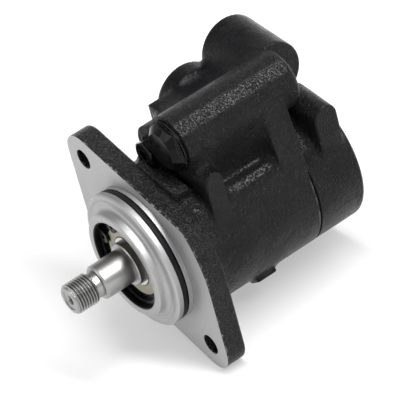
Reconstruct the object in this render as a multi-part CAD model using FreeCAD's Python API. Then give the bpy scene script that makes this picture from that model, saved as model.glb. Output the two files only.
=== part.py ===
import FreeCAD, Part
import math
import os

# Power steering pump, vane type, in millimetres.
# The shaft lies along Y and its threaded end points to -Y. +Z points up to the control valve,
# and both ports open to -X. The origin is the shaft axis at the flange's machined front face.

V = FreeCAD.Vector
FRONT = V(0, -1, 0)
REAR = V(0, 1, 0)

# Mounting flange and spigot
bolt_spacing = 108.0
bolt_line_deg = 135.0
bolt_hole_r = 5.25
ear_r = 13.0
flange_disc_r = 51.3
flange_thick = 11.2
flange_rear_round = 1.5
spigot_r = 36.0
spigot_len = 9.1
spigot_chamfer = 0.8
hub_r = 28.0
hub_len = 14.2
hub_chamfer = 0.7
hub_root_round = 2.6
face_relief_r = 33.6
face_relief_width = 1.4
face_relief_depth = 0.5
seal_groove_r = 33.2
seal_groove_front_y = -5.8
seal_groove_rear_y = -2.45

# Ball bearing, its circlip and the shaft seal
bearing_od = 47.0
bearing_bore = 17.0
bearing_width = 14.0
bearing_front_y = -9.5
inner_land_r = 13.1
outer_land_r = 18.9
ball_r = 4.5
ball_count = 7
ball_clearance = 0.05
cage_front_thick = 2.4
cage_depth = 9.6
cage_clearance = 0.45
cage_pocket_gap = 0.2
clip_thick = 1.75
clip_width = 3.6
clip_groove_depth = 1.25
clip_lug_r = 3.4
clip_gap_deg = 30.0
seal_r = 14.0
seal_width = 7.0
seal_front_y = 7.2
seal_lip_r = 9.2

# Shaft
thread_d = 16.0
undercut_d = 13.4
shaft_front_d = 18.0
shaft_tip_y = -46.5
undercut_front_y = -33.6
shoulder_y = -30.2
shaft_collar_d = 23.0
shaft_collar_len = 3.6
seal_journal_d = 16.8
retainer_thick = 1.0
retainer_r = 11.4
retainer_groove_r = 8.0
spline_root_r = 6.6
spline_tip_r = 7.6
spline_count = 6
spline_width = 2.6
rear_journal_r = 6.0
running_gap = 0.03

# Pump cartridge
cavity_r = 26.0
cavity_front_y = 22.0
front_plate_thick = 7.0
cam_width = 22.0
cam_major_r = 22.8
cam_minor_r = 20.1
pressure_plate_thick = 10.0
cartridge_clearance = 0.08
rotor_r = 19.5
rotor_side_gap = 0.02
vane_count = 10
vane_thick = 1.74
vane_slot_gap = 0.03
vane_tip_gap = 0.1
vane_len = 7.6
vane_travel = 0.8
slot_root_r = 1.4
kidney_r = 21.0
kidney_half_width = 1.6
kidney_deg = 44.0
dowel_r = 1.5
dowel_circle_r = 23.1
dowel_front_depth = 5.0

# Rear cover
body_r = 38.8
parting_y = 76.3
parting_chamfer = 0.6
cover_r = 38.7
cover_rear_y = 104.0
cover_rear_round = 2.0
cover_spigot_y = 64.4
cover_seal_y = 69.6
cover_groove_r = 23.8
cover_groove_width = 2.8
cover_dish_r = 24.0
cover_dish_depth = 3.0
cover_bolt_count = 6
cover_bolt_circle_r = 31.8
cover_bolt_r = 3.0
cover_bolt_head_r = 5.0
cover_bolt_head_len = 6.0
cover_bolt_thread_len = 12.0
cover_bolt_sink = 8.0
cover_bolt_socket_r = 2.9
bush_wall = 1.6
bush_len = 12.0
bush_front_y = 65.2
wave_spring_thick = 1.2

# Control valve boss, above the shaft and leaning to +X
valve_dist = 60.4
valve_deg = 75.6
valve_boss_r = 15.0
valve_face_y = 20.4
valve_rear_y = 87.2
valve_rear_round = 3.0
valve_bore_r = 9.0
valve_bore_end_y = 81.0
valve_thread_r = 11.2
valve_thread_len = 13.6
valve_plug_across = 24.0
valve_plug_disc_r = 9.1
valve_plug_head_len = 6.4
valve_plug_chamfer_len = 4.2
valve_plug_hex_len = 4.6
valve_plug_neck_r = 10.8
valve_washer_r = 13.3
valve_washer_thick = 1.4
neck_top_deg = 81.4
neck_top_drop = 17.0
neck_left_x = -5.0
neck_slot_width = 2.5
neck_slot_depth = 2.6
waist_deg = -14.0
waist_foot_round = 3.0
waist_step_y = 60.4
waist_step_len = 2.6
spool_front_y = 37.0
spool_len = 23.0
spool_land_front = 7.0
spool_land_rear = 9.5
spool_neck_r = 6.2
spool_nose_r = 4.0
spool_counterbore_r = 6.4
spool_counterbore_depth = 13.0
spool_travel = 4.0
spring_end_gap = 0.2
seat_gap = 0.02
spool_spring_r = 3.7
spool_spring_wire = 1.1
spool_spring_turns = 8

# Relief valve beside the control valve
relief_x = -3.6
relief_z = 47.2
relief_boss_r = 12.6
relief_boss_end_y = 56.0
relief_pocket_r = 9.4
relief_pocket_depth = 6.6
relief_across = 13.0
relief_head_len = 6.2
relief_hex_len = 4.4
relief_washer_r = 8.0
relief_washer_thick = 1.1
relief_thread_r = 4.5
relief_thread_len = 10.6
relief_bore_r = 3.1
relief_seat_y = 50.0
relief_ball_r = 2.6
relief_seat_hole_r = 1.6
relief_seat_hole_len = 4.0
relief_lift = 1.0
relief_spring_r = 2.0
relief_spring_wire = 0.7
relief_spring_turns = 5
plug_end_gap = 0.3
relief_hex_turn_deg = 30.0
relief_socket_r = 3.0
relief_socket_depth = 2.6

# Ports, both opening to -X
suction_y = 88.2
suction_z = 56.4
suction_r = 17.2
suction_near_r = 15.3
suction_face_x = -29.5
thread_gap = 0.04
suction_near_x = 7.0
suction_thread_r = 12.2
suction_thread_len = 16.0
suction_gallery_r = 8.5
pressure_y = 58.6
pressure_z = 45.2
pressure_r = 17.6
pressure_face_x = -29.5
pressure_thread_r = 8.2
pressure_thread_len = 14.0
pressure_gallery_r = 4.0
port_rim_round = 1.2
port_chamfer = 1.0
gallery_overlap = 1.0
intake_r = 3.4
intake_start_y = 83.4
intake_end_y = 64.0
intake_end_z = 22.0

# Cast ribs and pads
rib_left_x = -20.5
rib_top_z = 59.0
rib_front_y = 32.4
rib_width = 13.0
rib_round = 0.5
rib_rear_gap = 2.0
rib_height = 22.0
front_pad_x = 37.0
front_pad_width = 10.4
front_pad_top_z = 48.2
rear_pad_x = 35.0
rear_pad_y = 93.4
rear_pad_z = 38.4
rear_pad_r = 6.6
rear_pad_root_r = 8.4
rear_pad_root_x = 8.6
rear_pad_under = 3.6
pad_round = 1.0
lug_deg = -58.0
lug_front_y = 40.4
lug_rear_y = 51.6
lug_height = 2.8
lug_width = 9.0
lug_round = 1.0


def on_circle(radius, deg, y=0.0):
    """Point at a radius and an angle about the shaft, the angle counted from +X towards +Z."""
    turn = math.radians(deg)
    return V(radius * math.cos(turn), y, radius * math.sin(turn))


def cylinder_y(radius, y0, y1, x=0.0, z=0.0):
    return Part.makeCylinder(radius, y1 - y0, V(x, y0, z), REAR)


def ring_y(outer, inner, y0, y1, x=0.0, z=0.0):
    return cylinder_y(outer, y0, y1, x, z).cut(cylinder_y(inner, y0, y1, x, z))


def cone_y(r0, r1, y0, y1, x=0.0, z=0.0):
    return Part.makeCone(r0, r1, y1 - y0, V(x, y0, z), REAR)


def cylinder_x(radius, x0, x1, y, z):
    return Part.makeCylinder(radius, x1 - x0, V(x0, y, z), V(1, 0, 0))


def rod_between(radius, start, end):
    axis = end.sub(start)
    return Part.makeCylinder(radius, axis.Length, start, axis)


def lathe_y(profile, x=0.0, z=0.0):
    """Solid of revolution about a Y axis from a closed outline of (radius, y) pairs."""
    points = [V(radius, y, 0) for radius, y in profile]
    face = Part.Face(Part.makePolygon(points + [points[0]]))
    solid = face.revolve(V(0, 0, 0), V(0, 1, 0), 360)
    solid.translate(V(x, 0, z))
    return solid


def hexagon_y(across, y0, y1, x, z, turn_deg):
    """Hexagonal prism along Y with a corner at the given angle."""
    corner_r = across / math.sqrt(3.0)
    corners = [on_circle(corner_r, turn_deg + 60.0 * step, y0) for step in range(7)]
    prism = Part.Face(Part.makePolygon(corners)).extrude(V(0, y1 - y0, 0))
    prism.translate(V(x, 0, z))
    return prism


def around_y(shape, count, start_deg=0.0):
    """The same shape turned about the shaft axis into a full circle of copies."""
    copies = []
    for step in range(count):
        turned = shape.copy()
        turned.rotate(V(0, 0, 0), V(0, -1, 0), start_deg + 360.0 * step / count)
        copies.append(turned)
    return copies


def rounded_edges(solid, radius, wanted):
    """Rounds the edges that the test picks out."""
    return solid.makeFillet(radius, [edge for edge in solid.Edges if wanted(edge)])


def box_between(x0, x1, y0, y1, z0, z1):
    return Part.makeBox(x1 - x0, y1 - y0, z1 - z0, V(x0, y0, z0))


# Places worked out from the driving sizes
valve_up = on_circle(1.0, valve_deg)
valve_x = valve_up.x * valve_dist
valve_z = valve_up.z * valve_dist
neck_top_dist = valve_dist * math.cos(math.radians(neck_top_deg - valve_deg)) - neck_top_drop
valve_plug_front_y = valve_face_y - valve_plug_head_len
valve_plug_hex_rear_y = valve_plug_front_y + valve_plug_hex_len
valve_washer_front_y = valve_face_y - valve_washer_thick
relief_front_y = valve_face_y - relief_head_len
relief_hex_rear_y = relief_front_y + relief_hex_len
relief_washer_front_y = valve_face_y - relief_washer_thick
bearing_rear_y = bearing_front_y + bearing_width
ball_circle_r = (inner_land_r + outer_land_r) / 2.0
ball_y = bearing_front_y + bearing_width / 2.0
cam_front_y = cavity_front_y + front_plate_thick
cam_rear_y = cam_front_y + cam_width
plate_rear_y = cam_rear_y + pressure_plate_thick
cartridge_r = cavity_r - cartridge_clearance
clip_rear_y = bearing_front_y
clip_front_y = clip_rear_y - clip_thick
shaft_rear_y = bush_front_y + bush_len - 1.0
bush_r = rear_journal_r + running_gap + bush_wall
vane_tip_r = cam_minor_r - vane_tip_gap
valve_thread_end_y = valve_face_y + valve_thread_len
relief_thread_end_y = valve_face_y + relief_thread_len
relief_ball_y = relief_seat_y - math.sqrt(relief_ball_r ** 2 - relief_seat_hole_r ** 2) - seat_gap


def flange_outline():
    """Two ears joined to a central disc: a chord cuts the disc square to the control valve,
    and the other side of each ear runs on tangent to the disc. The outline repeats after half a turn."""
    ear_centre = on_circle(bolt_spacing / 2.0, bolt_line_deg)
    chord_turn = math.radians(bolt_line_deg - valve_deg)
    chord_dist = bolt_spacing / 2.0 * math.cos(chord_turn) + ear_r
    corner_deg = valve_deg - math.degrees(math.acos(chord_dist / flange_disc_r))
    side_deg = math.degrees(math.acos(2.0 * (flange_disc_r - ear_r) / bolt_spacing)) + bolt_line_deg - 180.0
    edges = []
    for half in (0.0, 180.0):
        ear = on_circle(bolt_spacing / 2.0, bolt_line_deg + half)
        next_ear = ear.negative()
        ear_end = ear.add(on_circle(ear_r, valve_deg + half))
        corner = on_circle(flange_disc_r, corner_deg + half)
        side = on_circle(flange_disc_r, side_deg - 180.0 + half)
        if side.dot(next_ear) < 0:
            side = side.negative()
        side_dir = side.normalize()
        side = side_dir * flange_disc_r
        start_deg = corner_deg + half
        end_deg = math.degrees(math.atan2(side.z, side.x))
        while end_deg > start_deg:
            end_deg -= 360.0
        middle = on_circle(flange_disc_r, (start_deg + end_deg) / 2.0)
        ear_start = next_ear.add(side_dir * ear_r)
        next_end_dir = on_circle(1.0, valve_deg + half + 180.0)
        bisector = side_dir.add(next_end_dir).normalize()
        if bisector.dot(next_ear) < 0:
            bisector = bisector.negative()
        edges.append(Part.LineSegment(ear_end, corner).toShape())
        edges.append(Part.Arc(corner, middle, side).toShape())
        edges.append(Part.LineSegment(side, ear_start).toShape())
        edges.append(Part.Arc(ear_start, next_ear.add(bisector * ear_r),
                              next_ear.add(next_end_dir * ear_r)).toShape())
    return Part.Wire(edges), ear_centre


def web_sides():
    """Directions of the two outer tangents of the body circle and the valve boss circle."""
    lean = math.degrees(math.acos((body_r - valve_boss_r) / valve_dist))
    return on_circle(1.0, valve_deg - lean), on_circle(1.0, valve_deg + lean)


def closed_web(right_side, y):
    """Closes a list of edges on the right with the boss's top, the left tangent and the body circle."""
    left = web_sides()[1]
    centre = V(valve_x, y, valve_z)
    top = centre.add(valve_up * valve_boss_r)
    boss_right = right_side[-1].Vertexes[-1].Point
    body_right = right_side[0].Vertexes[0].Point
    boss_left = centre.add(left * valve_boss_r)
    body_left = V(0, y, 0).add(left * body_r)
    under = V(0, y, 0).sub(valve_up * body_r)
    return Part.Wire(right_side + [Part.Arc(boss_right, top, boss_left).toShape(),
                                   Part.LineSegment(boss_left, body_left).toShape(),
                                   Part.Arc(body_left, under, body_right).toShape()])


def tangent_web(y):
    """Section in which the right side too is the outer tangent."""
    right = web_sides()[0]
    foot = V(0, y, 0).add(right * body_r)
    head = V(valve_x, y, valve_z).add(right * valve_boss_r)
    return closed_web([Part.LineSegment(foot, head).toShape()], y)


def waist_points(y, foot_round):
    """Foot, foot fillet and head of the waisted right side, which leans in under the boss."""
    out = on_circle(1.0, waist_deg)
    along = on_circle(1.0, waist_deg + 90.0)
    centre = V(valve_x, y, valve_z)
    head = centre.add(out * valve_boss_r)
    dist = V(valve_x, 0, valve_z).dot(out) + valve_boss_r + foot_round
    reach = body_r + foot_round
    fillet_centre = out * dist + along * math.sqrt(reach ** 2 - dist ** 2) + V(0, y, 0)
    foot = (fillet_centre - V(0, y, 0)) * (body_r / reach) + V(0, y, 0)
    wall_end = fillet_centre.sub(out * foot_round)
    middle = fillet_centre.sub(((fillet_centre - V(0, y, 0)).normalize() + out).normalize() * foot_round)
    return foot, middle, wall_end, head


def waisted_web(y):
    """Section in front of the step: a waist between the body and the boss, with a fillet at its foot."""
    foot, middle, wall_end, head = waist_points(y, waist_foot_round)
    return closed_web([Part.Arc(foot, middle, wall_end).toShape(), Part.LineSegment(wall_end, head).toShape()], y)


def sharp_waisted_web(y):
    """The same section with a sharp foot, which has as many edges as the tangent one."""
    foot, _, _, head = waist_points(y, 0.001)
    return closed_web([Part.LineSegment(foot, head).toShape()], y)


def half_space_above(distance, deg, y0, y1):
    """Block beyond a flat whose outward direction has the given angle."""
    size = 160.0
    block = Part.makeBox(size, y1 - y0, size, V(-size / 2.0, y0, distance))
    block.rotate(V(0, 0, 0), V(0, -1, 0), deg - 90.0)
    return block


def make_flange():
    outline, _ = flange_outline()
    plate = Part.Face(outline).extrude(V(0, flange_thick, 0))
    return rounded_edges(plate, flange_rear_round,
                         lambda edge: abs(edge.BoundBox.YMin - flange_thick) < 1e-6)


def make_arch_pad(x_root, x_face, y_mid, z_mid, root_r, face_r, z_low):
    """Cast pad with a round top: a drafted cross boss and the upright web below it."""
    boss = Part.makeCone(root_r, face_r, x_face - x_root, V(x_root, y_mid, z_mid), V(1, 0, 0))
    corners = [V(x_root, y_mid - root_r, z_mid), V(x_face, y_mid - face_r, z_mid),
               V(x_face, y_mid + face_r, z_mid), V(x_root, y_mid + root_r, z_mid)]
    web = Part.Face(Part.makePolygon(corners + [corners[0]])).extrude(V(0, 0, z_low - z_mid))
    pad = boss.fuse(web).removeSplitter()
    return rounded_edges(pad, pad_round, lambda edge: edge.BoundBox.XMin > x_face - 1e-6
                         and edge.BoundBox.ZMax > z_low + 1e-3)


def make_rib():
    rib = box_between(rib_left_x, rib_left_x + rib_width, rib_front_y, parting_y - rib_rear_gap,
                      rib_top_z - rib_height, rib_top_z)
    return rounded_edges(rib, rib_round, lambda edge: edge.BoundBox.ZMin > rib_top_z - 1e-6)


def make_lug():
    lug = box_between(body_r - 6.0, body_r + lug_height, lug_front_y, lug_rear_y,
                      -lug_width / 2.0, lug_width / 2.0)
    lug = rounded_edges(lug, lug_round, lambda edge: edge.BoundBox.XMin > body_r + lug_height - 1e-6)
    lug.rotate(V(0, 0, 0), V(0, -1, 0), lug_deg)
    return lug


def make_pressure_boss():
    boss = cylinder_x(pressure_r, pressure_face_x, rib_left_x + 1.0, pressure_y, pressure_z)
    return rounded_edges(boss, port_rim_round, lambda edge: edge.BoundBox.XMax < pressure_face_x + 1e-6)


def make_suction_boss():
    boss = Part.makeCone(suction_r, suction_near_r, suction_near_x - suction_face_x,
                         V(suction_face_x, suction_y, suction_z), V(1, 0, 0))
    return rounded_edges(boss, port_rim_round, lambda edge: edge.BoundBox.XLength < 1e-6)


def make_neck():
    """Low web between the flange and the face that both valve plugs screw into."""
    y0 = flange_thick - flange_rear_round
    neck = Part.Face(waisted_web(y0)).extrude(V(0, valve_face_y - y0, 0))
    size = 2.0 * valve_dist
    beyond_left = box_between(-size, neck_left_x, y0 - 1.0, valve_face_y + 1.0, body_r * 0.8, size)
    slot_front = valve_face_y - neck_slot_width
    return neck.cut([half_space_above(neck_top_dist, neck_top_deg, y0 - 1.0, valve_face_y + 1.0), beyond_left,
                     half_space_above(neck_top_dist - neck_slot_depth, neck_top_deg, slot_front, valve_face_y)])


def make_casting():
    """Outer form of the one-piece cast housing, before any machining."""
    body = cylinder_y(body_r, 0.0, parting_y)
    step_end = waist_step_y + waist_step_len
    front_web = Part.Face(waisted_web(valve_face_y)).extrude(V(0, waist_step_y - valve_face_y, 0))
    step = Part.makeLoft([sharp_waisted_web(waist_step_y), tangent_web(step_end)], True, True)
    rear_web = Part.Face(tangent_web(step_end)).extrude(V(0, parting_y - step_end, 0))
    boss = cylinder_y(valve_boss_r, parting_y - 1.0, valve_rear_y, valve_x, valve_z)
    boss = rounded_edges(boss, valve_rear_round,
                         lambda edge: edge.BoundBox.YMin > valve_rear_y - 1e-6)
    relief_boss = cylinder_y(relief_boss_r, valve_face_y, relief_boss_end_y, relief_x, relief_z)
    front_pad = make_arch_pad(20.0, front_pad_x, valve_face_y + front_pad_width / 2.0,
                              front_pad_top_z - front_pad_width / 2.0, front_pad_width / 2.0 + 0.01,
                              front_pad_width / 2.0, 0.0)
    parts = [make_flange(), make_neck(), front_web, step, rear_web, boss, relief_boss, front_pad, make_rib(),
             make_lug(), make_pressure_boss(), make_suction_boss()]
    casting = body.multiFuse(parts).removeSplitter()
    edge_blank = ring_y(body_r + 2.0, cavity_r, parting_y - parting_chamfer, parting_y + 1.0)
    edge_cut = edge_blank.cut(cone_y(body_r, body_r - parting_chamfer, parting_y - parting_chamfer, parting_y))
    edge_cut = edge_cut.cut(half_space_above(0.0, 90.0, parting_y - 2.0, parting_y + 2.0).common(
        cylinder_y(valve_boss_r, parting_y - 2.0, parting_y + 2.0, valve_x, valve_z)))
    return casting.cut(edge_cut)


def make_spigot():
    """Spigot with its seal groove, and the raised hub that carries the bearing."""
    profile = [(0.0, 1.0), (spigot_r, 1.0), (spigot_r, seal_groove_rear_y), (seal_groove_r, seal_groove_rear_y),
               (seal_groove_r, seal_groove_front_y), (spigot_r, seal_groove_front_y),
               (spigot_r, -spigot_len + spigot_chamfer), (spigot_r - spigot_chamfer, -spigot_len),
               (face_relief_r, -spigot_len), (face_relief_r - face_relief_width, -spigot_len + face_relief_depth),
               (hub_r, -spigot_len + face_relief_depth), (hub_r, -hub_len + hub_chamfer),
               (hub_r - hub_chamfer, -hub_len), (0.0, -hub_len)]
    spigot = lathe_y(profile)
    return rounded_edges(spigot, hub_root_round, lambda edge: abs(edge.BoundBox.YMin + spigot_len
                         - face_relief_depth) < 1e-6 and abs(edge.BoundBox.XMax - hub_r) < 1e-3)


def make_housing_cuts():
    """Everything machined or cored out of the housing."""
    bearing_r = bearing_od / 2.0
    cuts = [cylinder_y(bearing_r, -hub_len - 1.0, bearing_rear_y)]
    cuts.append(cone_y(bearing_r + hub_chamfer, bearing_r, -hub_len, -hub_len + hub_chamfer))
    cuts.append(cylinder_y(bearing_r + clip_groove_depth, clip_front_y - 0.05, clip_rear_y))
    cuts.append(cylinder_y(seal_r + 3.0, bearing_rear_y - 0.1, seal_front_y))
    cuts.append(cylinder_y(seal_r, seal_front_y - 0.1, seal_front_y + seal_width))
    cuts.append(cylinder_y(seal_journal_d / 2.0 + 0.6, seal_front_y + seal_width - 0.1, cavity_front_y))
    cuts.append(cylinder_y(cavity_r, cavity_front_y, parting_y + 1.0))
    for half in (0.0, 180.0):
        hole = on_circle(bolt_spacing / 2.0, bolt_line_deg + half)
        cuts.append(cylinder_y(bolt_hole_r, -1.0, flange_thick + 1.0, hole.x, hole.z))
    cuts.append(cylinder_y(valve_thread_r, valve_face_y - 1.0, valve_thread_end_y, valve_x, valve_z))
    cuts.append(cylinder_y(valve_bore_r, valve_thread_end_y - 0.1, valve_bore_end_y, valve_x, valve_z))
    cuts.append(cylinder_y(relief_pocket_r, valve_face_y - relief_pocket_depth, valve_face_y, relief_x, relief_z))
    cuts.append(cylinder_y(relief_thread_r, valve_face_y - 1.0, relief_thread_end_y, relief_x, relief_z))
    cuts.append(cylinder_y(relief_bore_r, relief_thread_end_y - 0.1, relief_seat_y, relief_x, relief_z))
    cuts.append(cylinder_y(relief_seat_hole_r, relief_seat_y - 0.1,
                           relief_seat_y + relief_seat_hole_len, relief_x, relief_z))
    cuts.extend(make_port_cuts())
    bolt_hole = cylinder_y(cover_bolt_r, parting_y - cover_bolt_thread_len, parting_y + 1.0, 0.0, cover_bolt_circle_r)
    cuts.extend(around_y(bolt_hole, cover_bolt_count))
    dowel_hole = cylinder_y(dowel_r, cavity_front_y - dowel_front_depth, cavity_front_y + 0.1, 0.0, dowel_circle_r)
    cuts.extend(around_y(dowel_hole, 2))
    return cuts


def make_port_cuts():
    """Threaded ports and the drillings that lead from them."""
    cuts = []
    ports = [(suction_face_x, suction_y, suction_z, suction_thread_r, suction_thread_len),
             (pressure_face_x, pressure_y, pressure_z, pressure_thread_r, pressure_thread_len)]
    for face_x, y, z, radius, length in ports:
        cuts.append(cylinder_x(radius, face_x - 1.0, face_x + length, y, z))
        cuts.append(Part.makeCone(radius + port_chamfer, radius, port_chamfer, V(face_x, y, z), V(1, 0, 0)))
    suction_end = suction_face_x + suction_thread_len
    cuts.append(cylinder_x(suction_gallery_r, suction_end - gallery_overlap, 0.0, suction_y, suction_z))
    cuts.append(rod_between(intake_r, V(-4.0, intake_start_y, suction_z), V(0.0, intake_end_y, intake_end_z)))
    pressure_end = V(pressure_face_x + pressure_thread_len - gallery_overlap, pressure_y, pressure_z)
    cuts.append(rod_between(pressure_gallery_r, pressure_end, V(valve_x - 4.0, pressure_y - 6.0, valve_z)))
    return cuts


def make_housing():
    casting = make_casting().fuse(make_spigot()).removeSplitter()
    return casting.cut(make_housing_cuts())


def make_rear_cover():
    cover = cylinder_y(cover_r, parting_y, cover_rear_y)
    cover = rounded_edges(cover, cover_rear_round, lambda edge: edge.BoundBox.YMin > cover_rear_y - 1e-6)
    cover = cover.makeChamfer(parting_chamfer, [edge for edge in cover.Edges
                                                if edge.BoundBox.YMax < parting_y + 1e-6])
    pad = make_arch_pad(rear_pad_root_x, rear_pad_x, rear_pad_y, rear_pad_z, rear_pad_root_r, rear_pad_r, 4.0)
    under = Part.makeBox(40.0, 60.0, 60.0, V(0, parting_y - 1.0, -60.0))
    under.rotate(V(0, 0, 0), V(0, 1, 0), -45.0)
    under.translate(V(rear_pad_x, 0, rear_pad_z - rear_pad_under))
    pad = pad.cut(under)
    spigot = cylinder_y(cartridge_r, cover_spigot_y, parting_y + 1.0)
    cover = cover.multiFuse([pad, spigot]).removeSplitter()
    groove_half = cover_groove_width / 2.0
    cuts = [ring_y(cavity_r + 1.0, cover_groove_r, cover_seal_y - groove_half, cover_seal_y + groove_half)]
    cuts.append(cylinder_y(bush_r, cover_spigot_y - 1.0, bush_front_y + bush_len + 1.0))
    cuts.append(cylinder_y(cover_dish_r, cover_rear_y - cover_dish_depth, cover_rear_y + 1.0))
    through = cylinder_y(cover_bolt_r + 0.2, parting_y - 1.0, cover_rear_y + 1.0, 0.0, cover_bolt_circle_r)
    sink = cylinder_y(cover_bolt_head_r + 0.4, cover_rear_y - cover_bolt_sink, cover_rear_y + 1.0,
                      0.0, cover_bolt_circle_r)
    cuts.extend(around_y(through.fuse(sink), cover_bolt_count))
    return cover.cut(cuts)


def make_cover_bolts():
    """Socket head screws as separate solids in one group."""
    head_seat_y = cover_rear_y - cover_bolt_sink
    bolt = cylinder_y(cover_bolt_r - thread_gap, parting_y - cover_bolt_thread_len + 1.0, head_seat_y + 0.1,
                      0.0, cover_bolt_circle_r)
    head = cylinder_y(cover_bolt_head_r, head_seat_y, head_seat_y + cover_bolt_head_len, 0.0, cover_bolt_circle_r)
    socket = hexagon_y(2.0 * cover_bolt_socket_r, head_seat_y + 2.8, head_seat_y + cover_bolt_head_len + 1.0,
                       0.0, cover_bolt_circle_r, 0.0)
    bolt = bolt.fuse(head).removeSplitter().cut(socket)
    return Part.makeCompound(around_y(bolt, cover_bolt_count))


def o_ring(centre_r, cord_r, y):
    return Part.makeTorus(centre_r, cord_r, V(0, y, 0), REAR)


def make_circlip():
    """Internal circlip: an open spring ring with two lugs and their plier holes at its gap."""
    outer = bearing_od / 2.0 + clip_groove_depth - 0.1
    inner = bearing_od / 2.0 - clip_width + 1.2
    ring = ring_y(outer, inner, clip_front_y, clip_rear_y)
    reach = outer + 5.0
    gap_side = [on_circle(reach, bolt_line_deg + sign * clip_gap_deg / 2.0, clip_front_y - 1.0) for sign in (-1, 1)]
    wedge = Part.Face(Part.makePolygon([V(0, clip_front_y - 1.0, 0), gap_side[0], gap_side[1],
                                        V(0, clip_front_y - 1.0, 0)])).extrude(V(0, clip_thick + 2.0, 0))
    clip = ring.cut(wedge)
    lugs = []
    holes = []
    for sign in (-1, 1):
        spot = on_circle(inner - clip_lug_r + 2.2, bolt_line_deg + sign * (clip_gap_deg / 2.0 + 9.0))
        lugs.append(cylinder_y(clip_lug_r, clip_front_y, clip_rear_y, spot.x, spot.z))
        holes.append(cylinder_y(1.25, clip_front_y - 1.0, clip_rear_y + 1.0, spot.x, spot.z))
    return clip.multiFuse(lugs).removeSplitter().cut(holes)


def make_bearing_outer():
    ring = ring_y(bearing_od / 2.0, outer_land_r, bearing_front_y, bearing_rear_y)
    return ring.cut(o_ring(ball_circle_r, ball_r + ball_clearance, ball_y))


def make_bearing_inner():
    ring = ring_y(inner_land_r, bearing_bore / 2.0, bearing_front_y, bearing_rear_y)
    return ring.cut(o_ring(ball_circle_r, ball_r + ball_clearance, ball_y))


def ball_at(radius):
    return Part.makeSphere(radius, V(0, ball_y, ball_circle_r))


def make_balls():
    return Part.makeCompound(around_y(ball_at(ball_r), ball_count))


def make_cage():
    """Snap cage: a flat ring at the front with fingers reaching back between the balls."""
    front = bearing_front_y + 0.3
    cage = ring_y(outer_land_r - cage_clearance, inner_land_r + cage_clearance, front, front + cage_depth)
    bore = Part.makeCylinder(ball_r + cage_pocket_gap, outer_land_r, V(0, ball_y, 0), V(0, 0, 1))
    pockets = around_y(bore, ball_count)
    window = box_between(-ball_r * 0.8, ball_r * 0.8, ball_y, front + cage_depth + 1.0,
                         inner_land_r, outer_land_r)
    return cage.cut(pockets + around_y(window, ball_count))


def make_shaft_seal():
    """Rubber lip seal with a flat outer case and a lip that closes on the journal."""
    lip = seal_journal_d / 2.0 + running_gap
    rear = seal_front_y + seal_width
    return lathe_y([(seal_r, seal_front_y), (seal_r, rear), (seal_lip_r + 1.6, rear),
                    (lip, rear - 1.6), (lip, rear - 2.2), (lip + 1.6, seal_front_y + 2.4),
                    (seal_lip_r + 0.8, seal_front_y)])


def make_shaft():
    """Turned shaft: threaded nose, drive seat, bearing collar, journals and the rotor splines."""
    nose_r = thread_d / 2.0
    seat_r = shaft_front_d / 2.0
    collar_front = bearing_front_y - shaft_collar_len
    bearing_seat = bearing_bore / 2.0
    profile = [(0.0, shaft_tip_y), (nose_r - 1.3, shaft_tip_y), (nose_r, shaft_tip_y + 1.3),
               (nose_r, undercut_front_y - 0.8), (undercut_d / 2.0, undercut_front_y),
               (undercut_d / 2.0, shoulder_y), (seat_r - 0.9, shoulder_y), (seat_r, shoulder_y + 0.9),
               (seat_r, collar_front), (shaft_collar_d / 2.0 - 0.5, collar_front),
               (shaft_collar_d / 2.0, collar_front + 0.5), (shaft_collar_d / 2.0, bearing_front_y),
               (bearing_seat, bearing_front_y), (bearing_seat, bearing_rear_y),
               (retainer_groove_r, bearing_rear_y), (retainer_groove_r, bearing_rear_y + retainer_thick),
               (seal_journal_d / 2.0, bearing_rear_y + retainer_thick),
               (seal_journal_d / 2.0, cavity_front_y - 1.0), (spline_tip_r, cavity_front_y),
               (spline_tip_r, cam_rear_y + 0.6), (rear_journal_r, cam_rear_y + 1.6),
               (rear_journal_r, shaft_rear_y - 0.8), (rear_journal_r - 0.8, shaft_rear_y), (0.0, shaft_rear_y)]
    shaft = lathe_y(profile)
    relief = ring_y(spline_tip_r + 1.0, spline_root_r, cam_front_y - 1.0, cam_rear_y + 2.0)
    tooth = box_between(-spline_width / 2.0, spline_width / 2.0, cam_front_y - 2.0, cam_rear_y + 3.0,
                        spline_root_r - 1.0, spline_tip_r + 2.0)
    spaces = relief.cut(around_y(tooth, spline_count))
    recess = cone_y(5.3, 5.1, shaft_tip_y - 0.1, shaft_tip_y + 0.5)
    drill = cone_y(2.9, 0.2, shaft_tip_y + 0.4, shaft_tip_y + 5.0)
    return shaft.cut([spaces, recess, drill])


def make_retaining_ring():
    ring = ring_y(retainer_r, retainer_groove_r, bearing_rear_y, bearing_rear_y + retainer_thick)
    opening = box_between(-2.2, 2.2, bearing_rear_y - 1.0, bearing_rear_y + 3.0, -retainer_r - 1.0, 0.0)
    return ring.cut(opening)


def vane_angles():
    return [360.0 * step / vane_count for step in range(vane_count)]


def make_rotor():
    front = cam_front_y + rotor_side_gap
    rear = cam_rear_y - rotor_side_gap
    rotor = cylinder_y(rotor_r, front, rear)
    slot_bottom = vane_tip_r - vane_len - vane_travel
    half = vane_thick / 2.0 + vane_slot_gap
    slot = box_between(slot_bottom - 0.2, rotor_r + 1.0, front - 1.0, rear + 1.0, -half, half)
    root = cylinder_y(slot_root_r, front - 1.0, rear + 1.0, slot_bottom, 0.0)
    cuts = [cylinder_y(spline_root_r + running_gap, front - 1.0, rear + 1.0)]
    cuts.extend(around_y(slot.fuse(root), vane_count))
    key_half = spline_width / 2.0 + running_gap
    keyway = box_between(-key_half, key_half, front - 1.0, rear + 1.0, 0.0, spline_tip_r + 0.1)
    cuts.extend(around_y(keyway, spline_count))
    return rotor.cut(cuts)


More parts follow.
